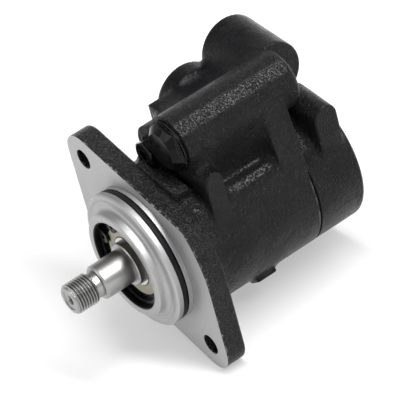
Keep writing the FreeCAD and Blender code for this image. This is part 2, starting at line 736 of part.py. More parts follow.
def make_vane(deg):
    vane = box_between(vane_tip_r - vane_len, vane_tip_r, cam_front_y + 1.5 * rotor_side_gap,
                       cam_rear_y - 1.5 * rotor_side_gap, -vane_thick / 2.0, vane_thick / 2.0)
    vane.rotate(V(0, 0, 0), V(0, -1, 0), deg)
    return vane


def dowel_holes(y0, y1):
    return around_y(cylinder_y(dowel_r, y0, y1, 0.0, dowel_circle_r), 2)


def make_cam_ring():
    """Ring with an oval running face, its long axis level, so that each vane pumps twice a turn."""
    ring = cylinder_y(cartridge_r, cam_front_y, cam_rear_y)
    oval = Part.Ellipse(V(cam_major_r, cam_front_y - 1.0, 0), V(0, cam_front_y - 1.0, cam_minor_r),
                        V(0, cam_front_y - 1.0, 0))
    hole = Part.Face(Part.Wire(oval.toShape())).extrude(V(0, cam_width + 2.0, 0))
    return ring.cut([hole] + dowel_holes(cam_front_y - 1.0, cam_rear_y + 1.0))


def kidney(centre_deg, y0, y1):
    """Curved slot through a plate, round ended, over part of a circle."""
    half = kidney_deg / 2.0
    sector = ring_y(kidney_r - 2.0 + kidney_half_width, kidney_r - 2.0 - kidney_half_width, y0, y1)
    reach = 2.0 * kidney_r
    wedge = Part.Face(Part.makePolygon([V(0, y0, 0), on_circle(reach, -half, y0), on_circle(reach, half, y0),
                                        V(0, y0, 0)])).extrude(V(0, y1 - y0, 0))
    ends = []
    for sign in (-1, 1):
        spot = on_circle(kidney_r - 2.0, sign * half)
        ends.append(cylinder_y(kidney_half_width, y0, y1, spot.x, spot.z))
    slot = sector.common(wedge).multiFuse(ends)
    slot.rotate(V(0, 0, 0), V(0, -1, 0), centre_deg)
    return slot


def make_side_plate(y0, y1, hole_r):
    plate = cylinder_y(cartridge_r, y0, y1)
    cuts = [cylinder_y(hole_r, y0 - 1.0, y1 + 1.0)] + dowel_holes(y0 - 1.0, y1 + 1.0)
    for centre_deg in (38.0, 142.0, 218.0, 322.0):
        cuts.append(kidney(centre_deg, y0 - 1.0, y1 + 1.0))
    return plate.cut(cuts)


def make_dowels():
    return Part.makeCompound(dowel_holes(cavity_front_y - dowel_front_depth + 0.5, plate_rear_y - 2.0))


def coil_spring(mean_r, wire, turns, y0, y1, x, z):
    """Square wire wound along Y, swept on a helix."""
    length = y1 - y0 - wire
    half = wire / 2.0
    helix = Part.makeHelix(length / turns, length, mean_r)
    corners = [V(mean_r - half, 0, -half), V(mean_r + half, 0, -half), V(mean_r + half, 0, half),
               V(mean_r - half, 0, half), V(mean_r - half, 0, -half)]
    coil = Part.Wire(helix).makePipeShell([Part.makePolygon(corners)], True, True)
    coil.rotate(V(0, 0, 0), V(1, 0, 0), -90)
    coil.translate(V(x, y0 + half, z))
    return coil


def make_wave_spring():
    """Spring washer that loads the pressure plate: a shallow cone seated in the cover."""
    height = cover_spigot_y - plate_rear_y
    return lathe_y([(16.0, plate_rear_y + 0.05), (16.0 + wave_spring_thick, plate_rear_y + 0.05),
                    (22.0, cover_spigot_y - 0.02), (22.0 - wave_spring_thick, cover_spigot_y - 0.02),
                    (16.0, plate_rear_y + height * 0.3)])


def make_bush():
    return ring_y(bush_r, rear_journal_r + running_gap, bush_front_y, bush_front_y + bush_len)


def make_valve_plug():
    """Hexagon screw plug: flat round front, long chamfer, neck and threaded shank."""
    corner_r = valve_plug_across / math.sqrt(3.0)
    hexagon = hexagon_y(valve_plug_across, valve_plug_front_y, valve_plug_hex_rear_y,
                        valve_x, valve_z, valve_deg + 30.0)
    dome = lathe_y([(0.0, valve_plug_front_y), (valve_plug_disc_r, valve_plug_front_y),
                    (corner_r, valve_plug_front_y + valve_plug_chamfer_len), (corner_r, valve_plug_hex_rear_y),
                    (0.0, valve_plug_hex_rear_y)], valve_x, valve_z)
    neck = cylinder_y(valve_plug_neck_r, valve_plug_hex_rear_y - 0.1, valve_face_y + 0.1, valve_x, valve_z)
    shank = cylinder_y(valve_thread_r - thread_gap, valve_face_y, valve_thread_end_y - plug_end_gap,
                       valve_x, valve_z)
    return hexagon.common(dome).multiFuse([neck, shank]).removeSplitter()


def make_valve_washer():
    return ring_y(valve_washer_r, valve_plug_neck_r + thread_gap, valve_washer_front_y, valve_face_y,
                  valve_x, valve_z)


def make_relief_plug():
    """Small hexagon plug with a round socket in its face."""
    corner_r = relief_across / math.sqrt(3.0)
    hexagon = hexagon_y(relief_across, relief_front_y, relief_hex_rear_y, relief_x, relief_z, relief_hex_turn_deg)
    dome = lathe_y([(0.0, relief_front_y), (relief_across / 2.0 - 0.4, relief_front_y),
                    (corner_r + 0.1, relief_front_y + 0.9), (corner_r + 0.1, relief_hex_rear_y),
                    (0.0, relief_hex_rear_y)], relief_x, relief_z)
    collar = cylinder_y(relief_thread_r - 0.4, relief_hex_rear_y - 0.1, valve_face_y + 0.1, relief_x, relief_z)
    shank = cylinder_y(relief_thread_r - thread_gap, valve_face_y, relief_thread_end_y - plug_end_gap,
                       relief_x, relief_z)
    socket = cylinder_y(relief_socket_r, relief_front_y - 1.0, relief_front_y + relief_socket_depth,
                        relief_x, relief_z)
    return hexagon.common(dome).multiFuse([collar, shank]).removeSplitter().cut(socket)


def make_relief_washer():
    return ring_y(relief_washer_r, relief_thread_r - 0.4 + thread_gap, relief_washer_front_y, valve_face_y,
                  relief_x, relief_z)


def make_spool():
    """Flow control spool: two lands, a nose that rests on the plug, and a bore for its spring."""
    rear = spool_front_y + spool_len
    land_r = valve_bore_r - running_gap
    nose_front = valve_thread_end_y - plug_end_gap + seat_gap
    spool = lathe_y([(0.0, nose_front), (spool_nose_r, nose_front), (spool_nose_r, spool_front_y),
                     (land_r - 0.5, spool_front_y), (land_r, spool_front_y + 0.5),
                     (land_r, spool_front_y + spool_land_front), (spool_neck_r, spool_front_y + spool_land_front + 1.0),
                     (spool_neck_r, rear - spool_land_rear - 1.0), (land_r, rear - spool_land_rear),
                     (land_r, rear - 0.5), (land_r - 0.5, rear), (0.0, rear)], valve_x, valve_z)
    return spool.cut(cylinder_y(spool_counterbore_r - 1.6, rear - spool_counterbore_depth, rear + 1.0, valve_x, valve_z))


def make_spool_spring():
    """Drawn at its length with the spool fully back."""
    front = spool_front_y + spool_len - spool_counterbore_depth + spool_travel + spring_end_gap
    return coil_spring(spool_spring_r, spool_spring_wire, spool_spring_turns, front,
                       valve_bore_end_y - seat_gap, valve_x, valve_z)


def make_relief_ball():
    return Part.makeSphere(relief_ball_r, V(relief_x, relief_ball_y, relief_z))


def make_relief_spring():
    """Drawn at its length with the ball fully lifted."""
    front = relief_thread_end_y - plug_end_gap + seat_gap
    rear = relief_ball_y - relief_ball_r - relief_lift - spring_end_gap
    return coil_spring(relief_spring_r, relief_spring_wire, relief_spring_turns, front, rear, relief_x, relief_z)


def make_spigot_seal():
    """Seal ring as it sits squeezed in the bore that the spigot enters."""
    middle_y = (seal_groove_front_y + seal_groove_rear_y) / 2.0
    half = (seal_groove_rear_y - seal_groove_front_y) / 2.0 - 0.1
    return lathe_y([(seal_groove_r, middle_y - half + 0.5), (seal_groove_r + 0.6, middle_y - half),
                    (spigot_r - 0.9, middle_y - half), (spigot_r - 0.25, middle_y - half + 0.7),
                    (spigot_r - 0.1, middle_y), (spigot_r - 0.25, middle_y + half - 0.7),
                    (spigot_r - 0.9, middle_y + half), (seal_groove_r + 0.6, middle_y + half),
                    (seal_groove_r, middle_y + half - 0.5)])


def squeezed_ring(inner, outer, width, y_mid):
    """Seal ring with the flats it has when it is squeezed in its groove."""
    half = width / 2.0
    corner = (outer - inner) * 0.3
    return lathe_y([(inner, y_mid - half + corner), (inner + corner, y_mid - half),
                    (outer - corner, y_mid - half), (outer, y_mid - half + corner),
                    (outer, y_mid + half - corner), (outer - corner, y_mid + half),
                    (inner + corner, y_mid + half), (inner, y_mid + half - corner)])


def make_cover_seal():
    return squeezed_ring(cover_groove_r + seat_gap, cavity_r - seat_gap, cover_groove_width - 2.0 * seat_gap,
                         cover_seal_y)


def build_nodes():
    nodes = {
        "pump_housing": make_housing(),
        "rear_cover": make_rear_cover(),
        "cover_screws": make_cover_bolts(),
        "cover_seal_ring": make_cover_seal(),
        "spigot_seal_ring": make_spigot_seal(),
        "bearing_circlip": make_circlip(),
        "bearing_outer_ring": make_bearing_outer(),
        "bearing_inner_ring": make_bearing_inner(),
        "bearing_balls": make_balls(),
        "bearing_cage": make_cage(),
        "shaft_seal": make_shaft_seal(),
        "drive_shaft": make_shaft(),
        "shaft_retaining_ring": make_retaining_ring(),
        "rotor": make_rotor(),
        "cam_ring": make_cam_ring(),
        "front_side_plate": make_side_plate(cavity_front_y, cam_front_y, seal_journal_d / 2.0 + 0.3),
        "pressure_plate": make_side_plate(cam_rear_y, plate_rear_y, spline_tip_r + 0.6),
        "plate_dowels": make_dowels(),
        "pressure_plate_spring": make_wave_spring(),
        "rear_bush": make_bush(),
        "valve_plug": make_valve_plug(),
        "valve_plug_washer": make_valve_washer(),
        "flow_control_spool": make_spool(),
        "spool_spring": make_spool_spring(),
        "relief_plug": make_relief_plug(),
        "relief_plug_washer": make_relief_washer(),
        "relief_ball": make_relief_ball(),
        "relief_spring": make_relief_spring(),
    }
    for number, deg in enumerate(vane_angles(), start=1):
        nodes["vane_%02d" % number] = make_vane(deg)
    return nodes


os.makedirs("parts", exist_ok=True)
for name, shape in build_nodes().items():
    shape.exportStep("parts/%s.step" % name)
    print(name, "solids", len(shape.Solids), "volume", round(shape.Volume, 1), "valid", shape.isValid())
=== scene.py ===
import math
from types import SimpleNamespace

import bmesh
import bpy
import numpy as np
from bpy.props import FloatProperty, FloatVectorProperty, IntProperty, PointerProperty
from mathutils import Matrix, Vector


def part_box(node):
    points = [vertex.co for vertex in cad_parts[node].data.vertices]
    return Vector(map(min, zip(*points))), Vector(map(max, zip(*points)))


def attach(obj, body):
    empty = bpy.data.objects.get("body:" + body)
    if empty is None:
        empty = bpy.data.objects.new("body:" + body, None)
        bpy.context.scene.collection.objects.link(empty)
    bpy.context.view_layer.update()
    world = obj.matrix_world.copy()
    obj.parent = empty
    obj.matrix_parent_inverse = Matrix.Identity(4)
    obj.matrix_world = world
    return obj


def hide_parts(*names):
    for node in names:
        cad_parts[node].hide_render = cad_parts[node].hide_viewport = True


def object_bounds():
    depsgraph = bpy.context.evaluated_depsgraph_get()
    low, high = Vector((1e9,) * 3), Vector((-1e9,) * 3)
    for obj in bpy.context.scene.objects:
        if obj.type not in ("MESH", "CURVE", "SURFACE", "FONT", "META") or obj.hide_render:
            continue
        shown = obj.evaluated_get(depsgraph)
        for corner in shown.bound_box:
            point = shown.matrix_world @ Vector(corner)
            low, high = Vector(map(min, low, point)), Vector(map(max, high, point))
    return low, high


bl_info = {
    "name": "Power steering pump",
    "version": (1, 0, 0),
    "blender": (4, 5, 0),
    "location": "3D View > Sidebar > Pump",
    "description": "Finishes and turned pieces of a vane type power steering pump, on its fixed frame",
    "category": "Object",
}

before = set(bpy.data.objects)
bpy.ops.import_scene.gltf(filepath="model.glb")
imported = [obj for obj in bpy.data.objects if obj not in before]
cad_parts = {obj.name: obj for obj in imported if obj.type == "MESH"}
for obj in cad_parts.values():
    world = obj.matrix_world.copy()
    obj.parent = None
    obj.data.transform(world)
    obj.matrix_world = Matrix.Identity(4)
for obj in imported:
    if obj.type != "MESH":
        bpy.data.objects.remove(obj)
bpy.context.view_layer.update()
CAD_BOX = [list(corner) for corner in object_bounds()]

# The frame's +Z is up, its shaft lies along Y, and lengths are metres.
MM = 0.001

# Camera that took the picture, in the pump's own frame
CAMERA_PLACE = Vector((1037.885, -502.765, 844.078)) * MM
CAMERA_RIGHT = Vector((0.58162303, 0.78357905, -0.21844571))
CAMERA_UP = Vector((-0.37361563, 0.49586263, 0.78392067))
CAMERA_LENS = 268.9
CAMERA_SENSOR = 36.0

# Which node takes which finish
RUBBER_NODES = ("spigot_seal_ring", "cover_seal_ring", "shaft_seal")
BEARING_NODES = ("bearing_inner_ring", "bearing_balls", "relief_ball")
PLATE_NODES = ("cam_ring", "front_side_plate", "pressure_plate")
VANE_COUNT = 10

# Places on the castings, in metres
PARTING = 0.0763
BODY_CLEAR = 0.0375
RELIEF_LINE = (-0.0036, 0.0472)
SUCTION_LINE = (0.0882, 0.0564)
PRESSURE_LINE = (0.0586, 0.0452)
BOLT_SIDE = 0.03818

# Directions: the one that surfaces with a painted sheen face, up and to the right where the overhead softbox's
# highlight falls, and the shoulder's top across the shaft
SHEEN_FACING = (0.60, 0.0, 0.80)
SHOULDER_TOP = (-0.7226, -0.5812)

# Share of the body's radius and angle from the boss at which the shoulder closes inside the body
HIDDEN_SHARE = 0.93
HIDDEN_DEG = 24.0
SECTION_ROWS = 12


def length_setting(name, description, default):
    """A length in metres that a user may change."""
    return FloatProperty(name=name, description=description, default=default, min=0.0,
                         precision=5, subtype="DISTANCE", unit="LENGTH")


def colour_setting(name, description, default):
    """A linear colour that a user may change."""
    return FloatVectorProperty(name=name, description=description, default=default, size=3,
                               min=0.0, max=1.0, subtype="COLOR")


def share_setting(name, description, default):
    """A share from nothing to all."""
    return FloatProperty(name=name, description=description, default=default, min=0.0, max=1.0,
                         subtype="FACTOR")


class PumpPaintSettings(bpy.types.PropertyGroup):
    """Black paint over rough cast iron."""

    colour: colour_setting("Paint", "Colour of the paint", (0.0042, 0.0042, 0.0050))
    # Pale paint: colour of wear and chips, and of the painted glints, painted sheen and painted rim highlight.
    pale_paint: colour_setting("Worn paint", "Colour of paint rubbed thin along the cast edges", (0.27, 0.27, 0.275))
    grain: length_setting("Grain", "Width of one grain of the sand cast skin", 0.00095)
    depth: length_setting("Grain depth", "Height of the cast grain", 0.0016)
    roughness: share_setting("Roughness", "Roughness of the paint", 0.23)


class PumpMetalSettings(bpy.types.PropertyGroup):
    """Bare and treated metals."""

    machined: colour_setting("Machined iron", "Turned faces of the housing", (0.47, 0.465, 0.47))
    steel: colour_setting("Shaft steel", "Ground and turned steel of the shaft", (0.43, 0.427, 0.422))
    bright: colour_setting("Bright steel", "Bearing rings, balls and ground inner parts", (0.66, 0.66, 0.67))
    black: colour_setting("Black steel", "Oiled black steel of plugs and circlip", (0.0030, 0.0030, 0.0034))
    line: length_setting("Tool mark", "Distance between the lathe's marks", 0.00022)


class PumpCastSettings(bpy.types.PropertyGroup):
    """Cast forms that join the housing's body to its boss, square to the shaft."""

    body: length_setting("Body radius", "Radius of the housing's round body", 0.0388)
    boss: length_setting("Boss radius", "Radius of the control valve's boss", 0.015)
    boss_x: length_setting("Boss side", "Sideways place of the boss's line", 0.01502)
    boss_z: length_setting("Boss height", "Height of the boss's line over the shaft", 0.0585)
    rise: length_setting("Shoulder rise", "Height of the shoulder's corner along its flat side", 0.0331)
    ridge: length_setting("Ridge radius", "Round on top of the shoulder", 0.008)
    front: length_setting("Shoulder front", "Front end of the shoulder, inside the flange", 0.0105)
    rear: length_setting("Shoulder rear", "Rear end of the shoulder, behind the web's step", 0.0645)
    valley: length_setting("Valley radius", "Radius of the hollow between rib and boss", 0.0163)
    rib_top: length_setting("Rib top", "Height of the rib's top over the shaft", 0.059)
    rib_front: length_setting("Rib front", "Front end of the rib", 0.0325)
    rib_rear: length_setting("Rib rear", "Rear end of the rib", 0.0742)
    cell: length_setting("Skin cell", "Distance between the points of the cast skin", 0.00115)
    blend_rounds: IntProperty(name="Blend rounds", description="How far the hollows are filled", default=34, min=1)


class PumpShaftSettings(bpy.types.PropertyGroup):
    """Sizes of the turned shaft, measured from its threaded tip."""

    nose: length_setting("Thread radius", "Outer radius of the thread", 0.008)
    pitch: length_setting("Pitch", "Pitch of the thread", 0.0015)
    thread_depth: length_setting("Thread depth", "Depth of the thread's groove", 0.00086)
    thread_end: length_setting("Thread length", "Length of the threaded nose", 0.0121)
    undercut: length_setting("Undercut radius", "Radius of the groove behind the thread", 0.0067)
    undercut_start: length_setting("Undercut start", "Where the undercut starts", 0.0129)
    shoulder: length_setting("Shoulder", "Where the drive seat starts", 0.0163)
    seat: length_setting("Seat radius", "Radius of the drive seat", 0.009)
    collar_start: length_setting("Collar start", "Where the collar starts", 0.0334)
    collar: length_setting("Collar radius", "Radius of the collar in front of the bearing", 0.0115)
    bearing_start: length_setting("Bearing start", "Where the bearing seat starts", 0.037)
    bearing_seat: length_setting("Bearing seat radius", "Radius of the bearing seat", 0.0085)
    bearing_end: length_setting("Bearing end", "Where the bearing seat ends", 0.051)
    ring_groove: length_setting("Ring groove radius", "Radius under the retaining ring", 0.008)
    ring_end: length_setting("Ring groove end", "Where the retaining ring's groove ends", 0.052)
    journal: length_setting("Journal radius", "Radius under the lip seal", 0.0084)
    journal_end: length_setting("Journal end", "Where the lip seal's journal ends", 0.0675)
    spline: length_setting("Spline radius", "Outer radius of the splines", 0.0076)
    spline_root: length_setting("Spline root radius", "Radius between the splines", 0.0066)
    spline_start: length_setting("Spline start", "Where the spline spaces start", 0.0745)
    spline_end: length_setting("Spline end", "Where the splines end", 0.0981)
    spline_width: length_setting("Spline width", "Width of one spline", 0.0026)
    spline_count: IntProperty(name="Splines", description="Number of splines", default=6, min=3)
    rear: length_setting("Rear radius", "Radius of the rear journal", 0.006)
    columns: IntProperty(name="Columns", description="Points round the shaft", default=180, min=24)


class PumpStageSettings(bpy.types.PropertyGroup):
    """Floor, lamps and world."""

    floor_colour: share_setting("Floor", "Grey level of the floor", 0.52)
    floor_glow: share_setting("Floor glow", "Glow that brings the floor to white for the camera", 0.42)
    floor_reach: length_setting("Floor reach", "Distance at which the floor is as white as the world", 0.40)
    ambient: share_setting("Ambient", "Strength of the world's light on the pump", 0.42)
    sky: share_setting("Sky", "Level of the world high over the pump, where it is white at the horizon", 0.24)
    overhead: FloatProperty(name="Overhead", description="Power of the overhead softbox", default=10.0, unit="POWER")
    front: FloatProperty(name="Front", description="Power of the softbox at the front", default=1.6, unit="POWER")
    rim: FloatProperty(name="Rim", description="Power of the strip behind the pump", default=1.2, unit="POWER")


# Node trees

def add_node(tree, kind, inputs=None, **settings):
    """Adds a shader node, sets its fields, and sets or links its inputs."""
    node = tree.nodes.new("ShaderNode" + kind)
    for field, value in settings.items():
        setattr(node, field, value)
    for key, value in (inputs or {}).items():
        if isinstance(value, bpy.types.NodeSocket):
            tree.links.new(value, node.inputs[key])
        else:
            node.inputs[key].default_value = value
    return node


def maths(tree, operation, first, second=0.0, clamp=False):
    """One Math node's result."""
    return add_node(tree, "Math", {0: first, 1: second}, operation=operation, use_clamp=clamp).outputs[0]


def product(tree, *values):
    """Several values multiplied together."""
    result = values[0]
    for value in values[1:]:
        result = maths(tree, "MULTIPLY", result, value)
    return result


def ramp(tree, value, low, high, to_low=0.0, to_high=1.0):
    """Value brought from low..high to to_low..to_high, smoothly and clamped."""
    node = add_node(tree, "MapRange", {"Value": value, "From Min": low, "From Max": high, "To Min": to_low,
                                       "To Max": to_high}, interpolation_type="SMOOTHSTEP")
    return node.outputs["Result"]


def mixed(tree, share, first, second):
    """Colour between two colours."""
    node = add_node(tree, "Mix", data_type="RGBA")
    for socket, value in ((node.inputs[0], share), (node.inputs[6], first), (node.inputs[7], second)):
        if isinstance(value, bpy.types.NodeSocket):
            tree.links.new(value, socket)
        else:
            socket.default_value = value
    return node.outputs[2]


def opaque(colour):
    """A linear colour with full alpha."""
    return (colour[0], colour[1], colour[2], 1.0)


def from_shaft_line(tree, place):
    """The place's three parts, the place with its Y left out, and its distance from the shaft's line."""
    parts = add_node(tree, "SeparateXYZ", {0: place}).outputs
    flat = add_node(tree, "CombineXYZ", {0: parts["X"], 2: parts["Z"]}).outputs[0]
    radius = add_node(tree, "VectorMath", {0: flat}, operation="LENGTH").outputs["Value"]
    return parts, flat, radius


def bumped(tree, height, distance, normal, strength=1.0):
    """Normal that follows a height over the surface."""
    return add_node(tree, "Bump", {"Height": height, "Distance": distance, "Strength": strength,
                                   "Normal": normal}).outputs[0]


def feed(tree, shader, **values):
    """Links values to the shader's sockets, named with _ for a space."""
    for socket, value in values.items():
        tree.links.new(value, shader.inputs[socket.replace("_", " ")])


def seen_rays(tree):
    """One for rays of the camera, of reflections and of clear surfaces, and nothing for other light."""
    path = add_node(tree, "LightPath").outputs
    passed_on = maths(tree, "MAXIMUM", path["Is Glossy Ray"], path["Is Transmission Ray"])
    return maths(tree, "MAXIMUM", path["Is Camera Ray"], passed_on)


def new_group(name, inputs, outputs):
    """Empty shader node group with named inputs and outputs."""
    group = bpy.data.node_groups.new(name, "ShaderNodeTree")
    for label, kind in inputs:
        group.interface.new_socket(name=label, in_out="INPUT", socket_type=kind)
    for label, kind in outputs:
        group.interface.new_socket(name=label, in_out="OUTPUT", socket_type=kind)
    source = group.nodes.new("NodeGroupInput")
    result = group.nodes.new("NodeGroupOutput")
    return group, source.outputs, result.inputs


def place_group(tree, group, inputs):
    """Puts a group into a material with its own values."""
    node = tree.nodes.new("ShaderNodeGroup")
    node.node_tree = group
    for key, value in inputs.items():
        if isinstance(value, bpy.types.NodeSocket):
            tree.links.new(value, node.inputs[key])
        else:
            node.inputs[key].default_value = value
    return node.outputs


def cast_grain_group():
    """Skin of a sand casting: grains of uneven height, sparse pits, glints on the highest grains and
    speckle on all the higher ones."""
    group, given, made = new_group("cast_grain",
                                   [("Vector", "NodeSocketVector"), ("Grains per metre", "NodeSocketFloat")],
                                   [("Height", "NodeSocketFloat"), ("Glint", "NodeSocketFloat"),
                                    ("Speckle", "NodeSocketFloat")])
    grain = add_node(group, "TexNoise", {"Vector": given["Vector"], "Scale": given["Grains per metre"],
                                         "Detail": 3.0, "Roughness": 0.62}).outputs[0]
    lumps = add_node(group, "TexNoise", {"Vector": given["Vector"],
                                         "Scale": maths(group, "MULTIPLY", given["Grains per metre"], 0.19),
                                         "Detail": 2.0}).outputs[0]
    pits_per_metre = maths(group, "MULTIPLY", given["Grains per metre"], 0.42)
    cells = add_node(group, "TexVoronoi", {"Vector": given["Vector"], "Scale": pits_per_metre}).outputs[0]
    pit = ramp(group, cells, 0.10, 0.24, 1.0, 0.0)
    height = maths(group, "ADD", grain, maths(group, "MULTIPLY", lumps, 0.7))
    height = maths(group, "SUBTRACT", height, maths(group, "MULTIPLY", pit, 0.35))
    group.links.new(height, made["Height"])
    group.links.new(ramp(group, grain, 0.60, 0.72), made["Glint"])
    fine = add_node(group, "TexNoise", {"Vector": given["Vector"],
                                        "Scale": maths(group, "MULTIPLY", given["Grains per metre"], 1.5),
                                        "Detail": 1.0}).outputs[0]
    group.links.new(ramp(group, fine, 0.52, 0.62), made["Speckle"])
    return group


def edge_group():
    """Where a rounded copy of the surface turns away from the true one, so along its sharp edges."""
    group, given, made = new_group("edge_wear", [("Radius", "NodeSocketFloat")],
                                   [("Edge", "NodeSocketFloat"), ("Rounded", "NodeSocketVector")])
    rounded = add_node(group, "Bevel", {"Radius": given["Radius"]}, samples=6).outputs[0]
    true = add_node(group, "NewGeometry").outputs["Normal"]
    same = add_node(group, "VectorMath", {0: rounded, 1: true}, operation="DOT_PRODUCT").outputs["Value"]
    group.links.new(ramp(group, same, 0.97, 0.80), made["Edge"])
    group.links.new(rounded, made["Rounded"])
    return group


def turned_group():
    """Lathe marks: fine rings that follow the distance from the shaft's line and the place along it."""
    group, given, made = new_group("turned_rings",
                                   [("Vector", "NodeSocketVector"), ("Lines per metre", "NodeSocketFloat")],
                                   [("Height", "NodeSocketFloat"), ("Tone", "NodeSocketFloat")])
    parts, _, radius = from_shaft_line(group, given["Vector"])
    travel = maths(group, "ADD", radius, maths(group, "MULTIPLY", parts["Y"], 0.83))
    fine = add_node(group, "TexNoise", {"W": maths(group, "MULTIPLY", travel, given["Lines per metre"]), "Scale": 1.0,
                                        "Detail": 2.0}, noise_dimensions="1D").outputs[0]
    broad = add_node(group, "TexNoise", {"W": maths(group, "MULTIPLY", travel, given["Lines per metre"]),
                                         "Scale": 0.13, "Detail": 1.0}, noise_dimensions="1D").outputs[0]
    group.links.new(fine, made["Height"])
    group.links.new(broad, made["Tone"])
    return group


def smudge_group():
    """Oil and handling: soft cloudy patches over a few finer spots."""
    group, given, made = new_group("smudges", [("Vector", "NodeSocketVector"), ("Patches per metre", "NodeSocketFloat")],
                                   [("Cloud", "NodeSocketFloat"), ("Spots", "NodeSocketFloat")])
    cloud = add_node(group, "TexNoise", {"Vector": given["Vector"], "Scale": given["Patches per metre"], "Detail": 4.0,
                                         "Roughness": 0.55, "Distortion": 0.4}).outputs[0]
    spots = add_node(group, "TexNoise", {"Vector": given["Vector"],
                                         "Scale": maths(group, "MULTIPLY", given["Patches per metre"], 9.0),
                                         "Detail": 2.0}).outputs[0]
    group.links.new(ramp(group, cloud, 0.35, 0.65), made["Cloud"])
    group.links.new(ramp(group, spots, 0.62, 0.70), made["Spots"])
    return group


def shared_group(name):
    """One of the shared groups, built at its first use."""
    makers = {"cast_grain": cast_grain_group, "edge_wear": edge_group, "turned_rings": turned_group,
              "smudges": smudge_group}
    return bpy.data.node_groups.get(name) or makers[name]()


def start_material(name, **fixed):
    """Material with a Principled shader, its fixed values set on its own sockets, and Object coordinates."""
    material = bpy.data.materials.new(name)
    material.use_nodes = True
    tree = material.node_tree
    tree.nodes.clear()
    shader = add_node(tree, "BsdfPrincipled", {key.replace("_", " "): value for key, value in fixed.items()})
    output = tree.nodes.new("ShaderNodeOutputMaterial")
    tree.links.new(shader.outputs[0], output.inputs["Surface"])
    place = add_node(tree, "TexCoord").outputs["Object"]
    return material, tree, shader, place


def grain_share(tree, site):
    """How coarse the paint is, and where the neck by the flange lies.
    The port bosses and the rib are smoother than the sides and the neck."""
    neck = ramp(tree, site.parts["Y"], 0.021, 0.017, 0.0, 1.0)
    coarse = maths(tree, "MAXIMUM", ramp(tree, site.parts["X"], -0.004, 0.016, 0.30, 0.85), neck)
    return product(tree, coarse, ramp(tree, site.cloud, 0.0, 1.0, 0.55, 1.0)), neck


def painted_sheen_share(tree, site):
    """Share of the painted sheen: pale grains where the surface faces up and to the right, where the overhead
    softbox's highlight falls, with none on the side of the ports and none in the waist beside the control valve's
    boss."""
    cast = bpy.context.scene.pump_cast
    normal = add_node(tree, "NewGeometry").outputs["Normal"]
    facing = add_node(tree, "VectorMath", {0: normal, 1: SHEEN_FACING}, operation="DOT_PRODUCT").outputs["Value"]
    across = add_node(tree, "VectorMath", {0: site.flat, 1: (cast.boss_x, 0.0, cast.boss_z)},
                      operation="DISTANCE").outputs["Value"]
    waist = product(tree, ramp(tree, across, 16.5 * MM, 18.0 * MM), ramp(tree, across, 24.0 * MM, 22.0 * MM))
    return product(tree, ramp(tree, facing, 0.955, 0.992), ramp(tree, site.cloud, 0.0, 1.0, 0.30, 0.6),
                   ramp(tree, site.parts["X"], 3.0 * MM, 9.0 * MM), maths(tree, "SUBTRACT", 1.0, waist))


def painted_rim_highlight(tree, site):
    """Painted highlight along the rim in front of the parting groove, in places."""
    from_rim = maths(tree, "ABSOLUTE", maths(tree, "SUBTRACT", site.parts["Y"], PARTING - 0.85 * MM))
    return product(tree, ramp(tree, from_rim, 0.5 * MM, 0.1 * MM), ramp(tree, site.radius, 39.6 * MM, 39.2 * MM),
                   ramp(tree, site.cloud, 0.2, 0.8, 0.05, 0.6))


def parting_groove(tree, site):
    """Dark groove between housing and cover."""
    from_groove = maths(tree, "ABSOLUTE", maths(tree, "SUBTRACT", site.parts["Y"], PARTING + 0.15 * MM))
    return product(tree, ramp(tree, from_groove, 0.75 * MM, 0.45 * MM),
                   ramp(tree, site.radius, 39.6 * MM, 39.2 * MM))


def wear_and_painted_glints(tree, site, coarse, neck):
    """Share of pale paint: painted glints on the high grains, painted sparkle in the painted sheen and on the neck, a
    painted highlight on the rim in front of the parting groove, real wear along edges, and chips beside the flange's
    turned face."""
    # Painted sparkle on the grains in the painted sheen, and fainter on the neck.
    speckle = maths(tree, "MAXIMUM", painted_sheen_share(tree, site), maths(tree, "MULTIPLY", neck, 0.13))
    speckle = maths(tree, "MULTIPLY", site.grain["Speckle"], speckle)
    # Painted glints on the highest grains.
    painted_glint = maths(tree, "MULTIPLY", site.grain["Glint"], maths(tree, "MULTIPLY", coarse, 0.34))
    painted_glint = maths(tree, "MAXIMUM", painted_glint, speckle)
    # Real wear of the paint along sharp edges.
    pale_paint = maths(tree, "MULTIPLY", site.edge["Edge"], maths(tree, "MULTIPLY", site.grain["Glint"], 0.8), True)
    beside_face = product(tree, ramp(tree, site.parts["Y"], 1.5 * MM, 0.3 * MM),
                          maths(tree, "GREATER_THAN", site.parts["Y"], 0.05 * MM))
    chips = product(tree, beside_face, ramp(tree, site.grain["Height"], 0.86, 0.98))
    return maths(tree, "MAXIMUM", maths(tree, "MAXIMUM", painted_rim_highlight(tree, site), chips),
                 maths(tree, "MAXIMUM", painted_glint, pale_paint))


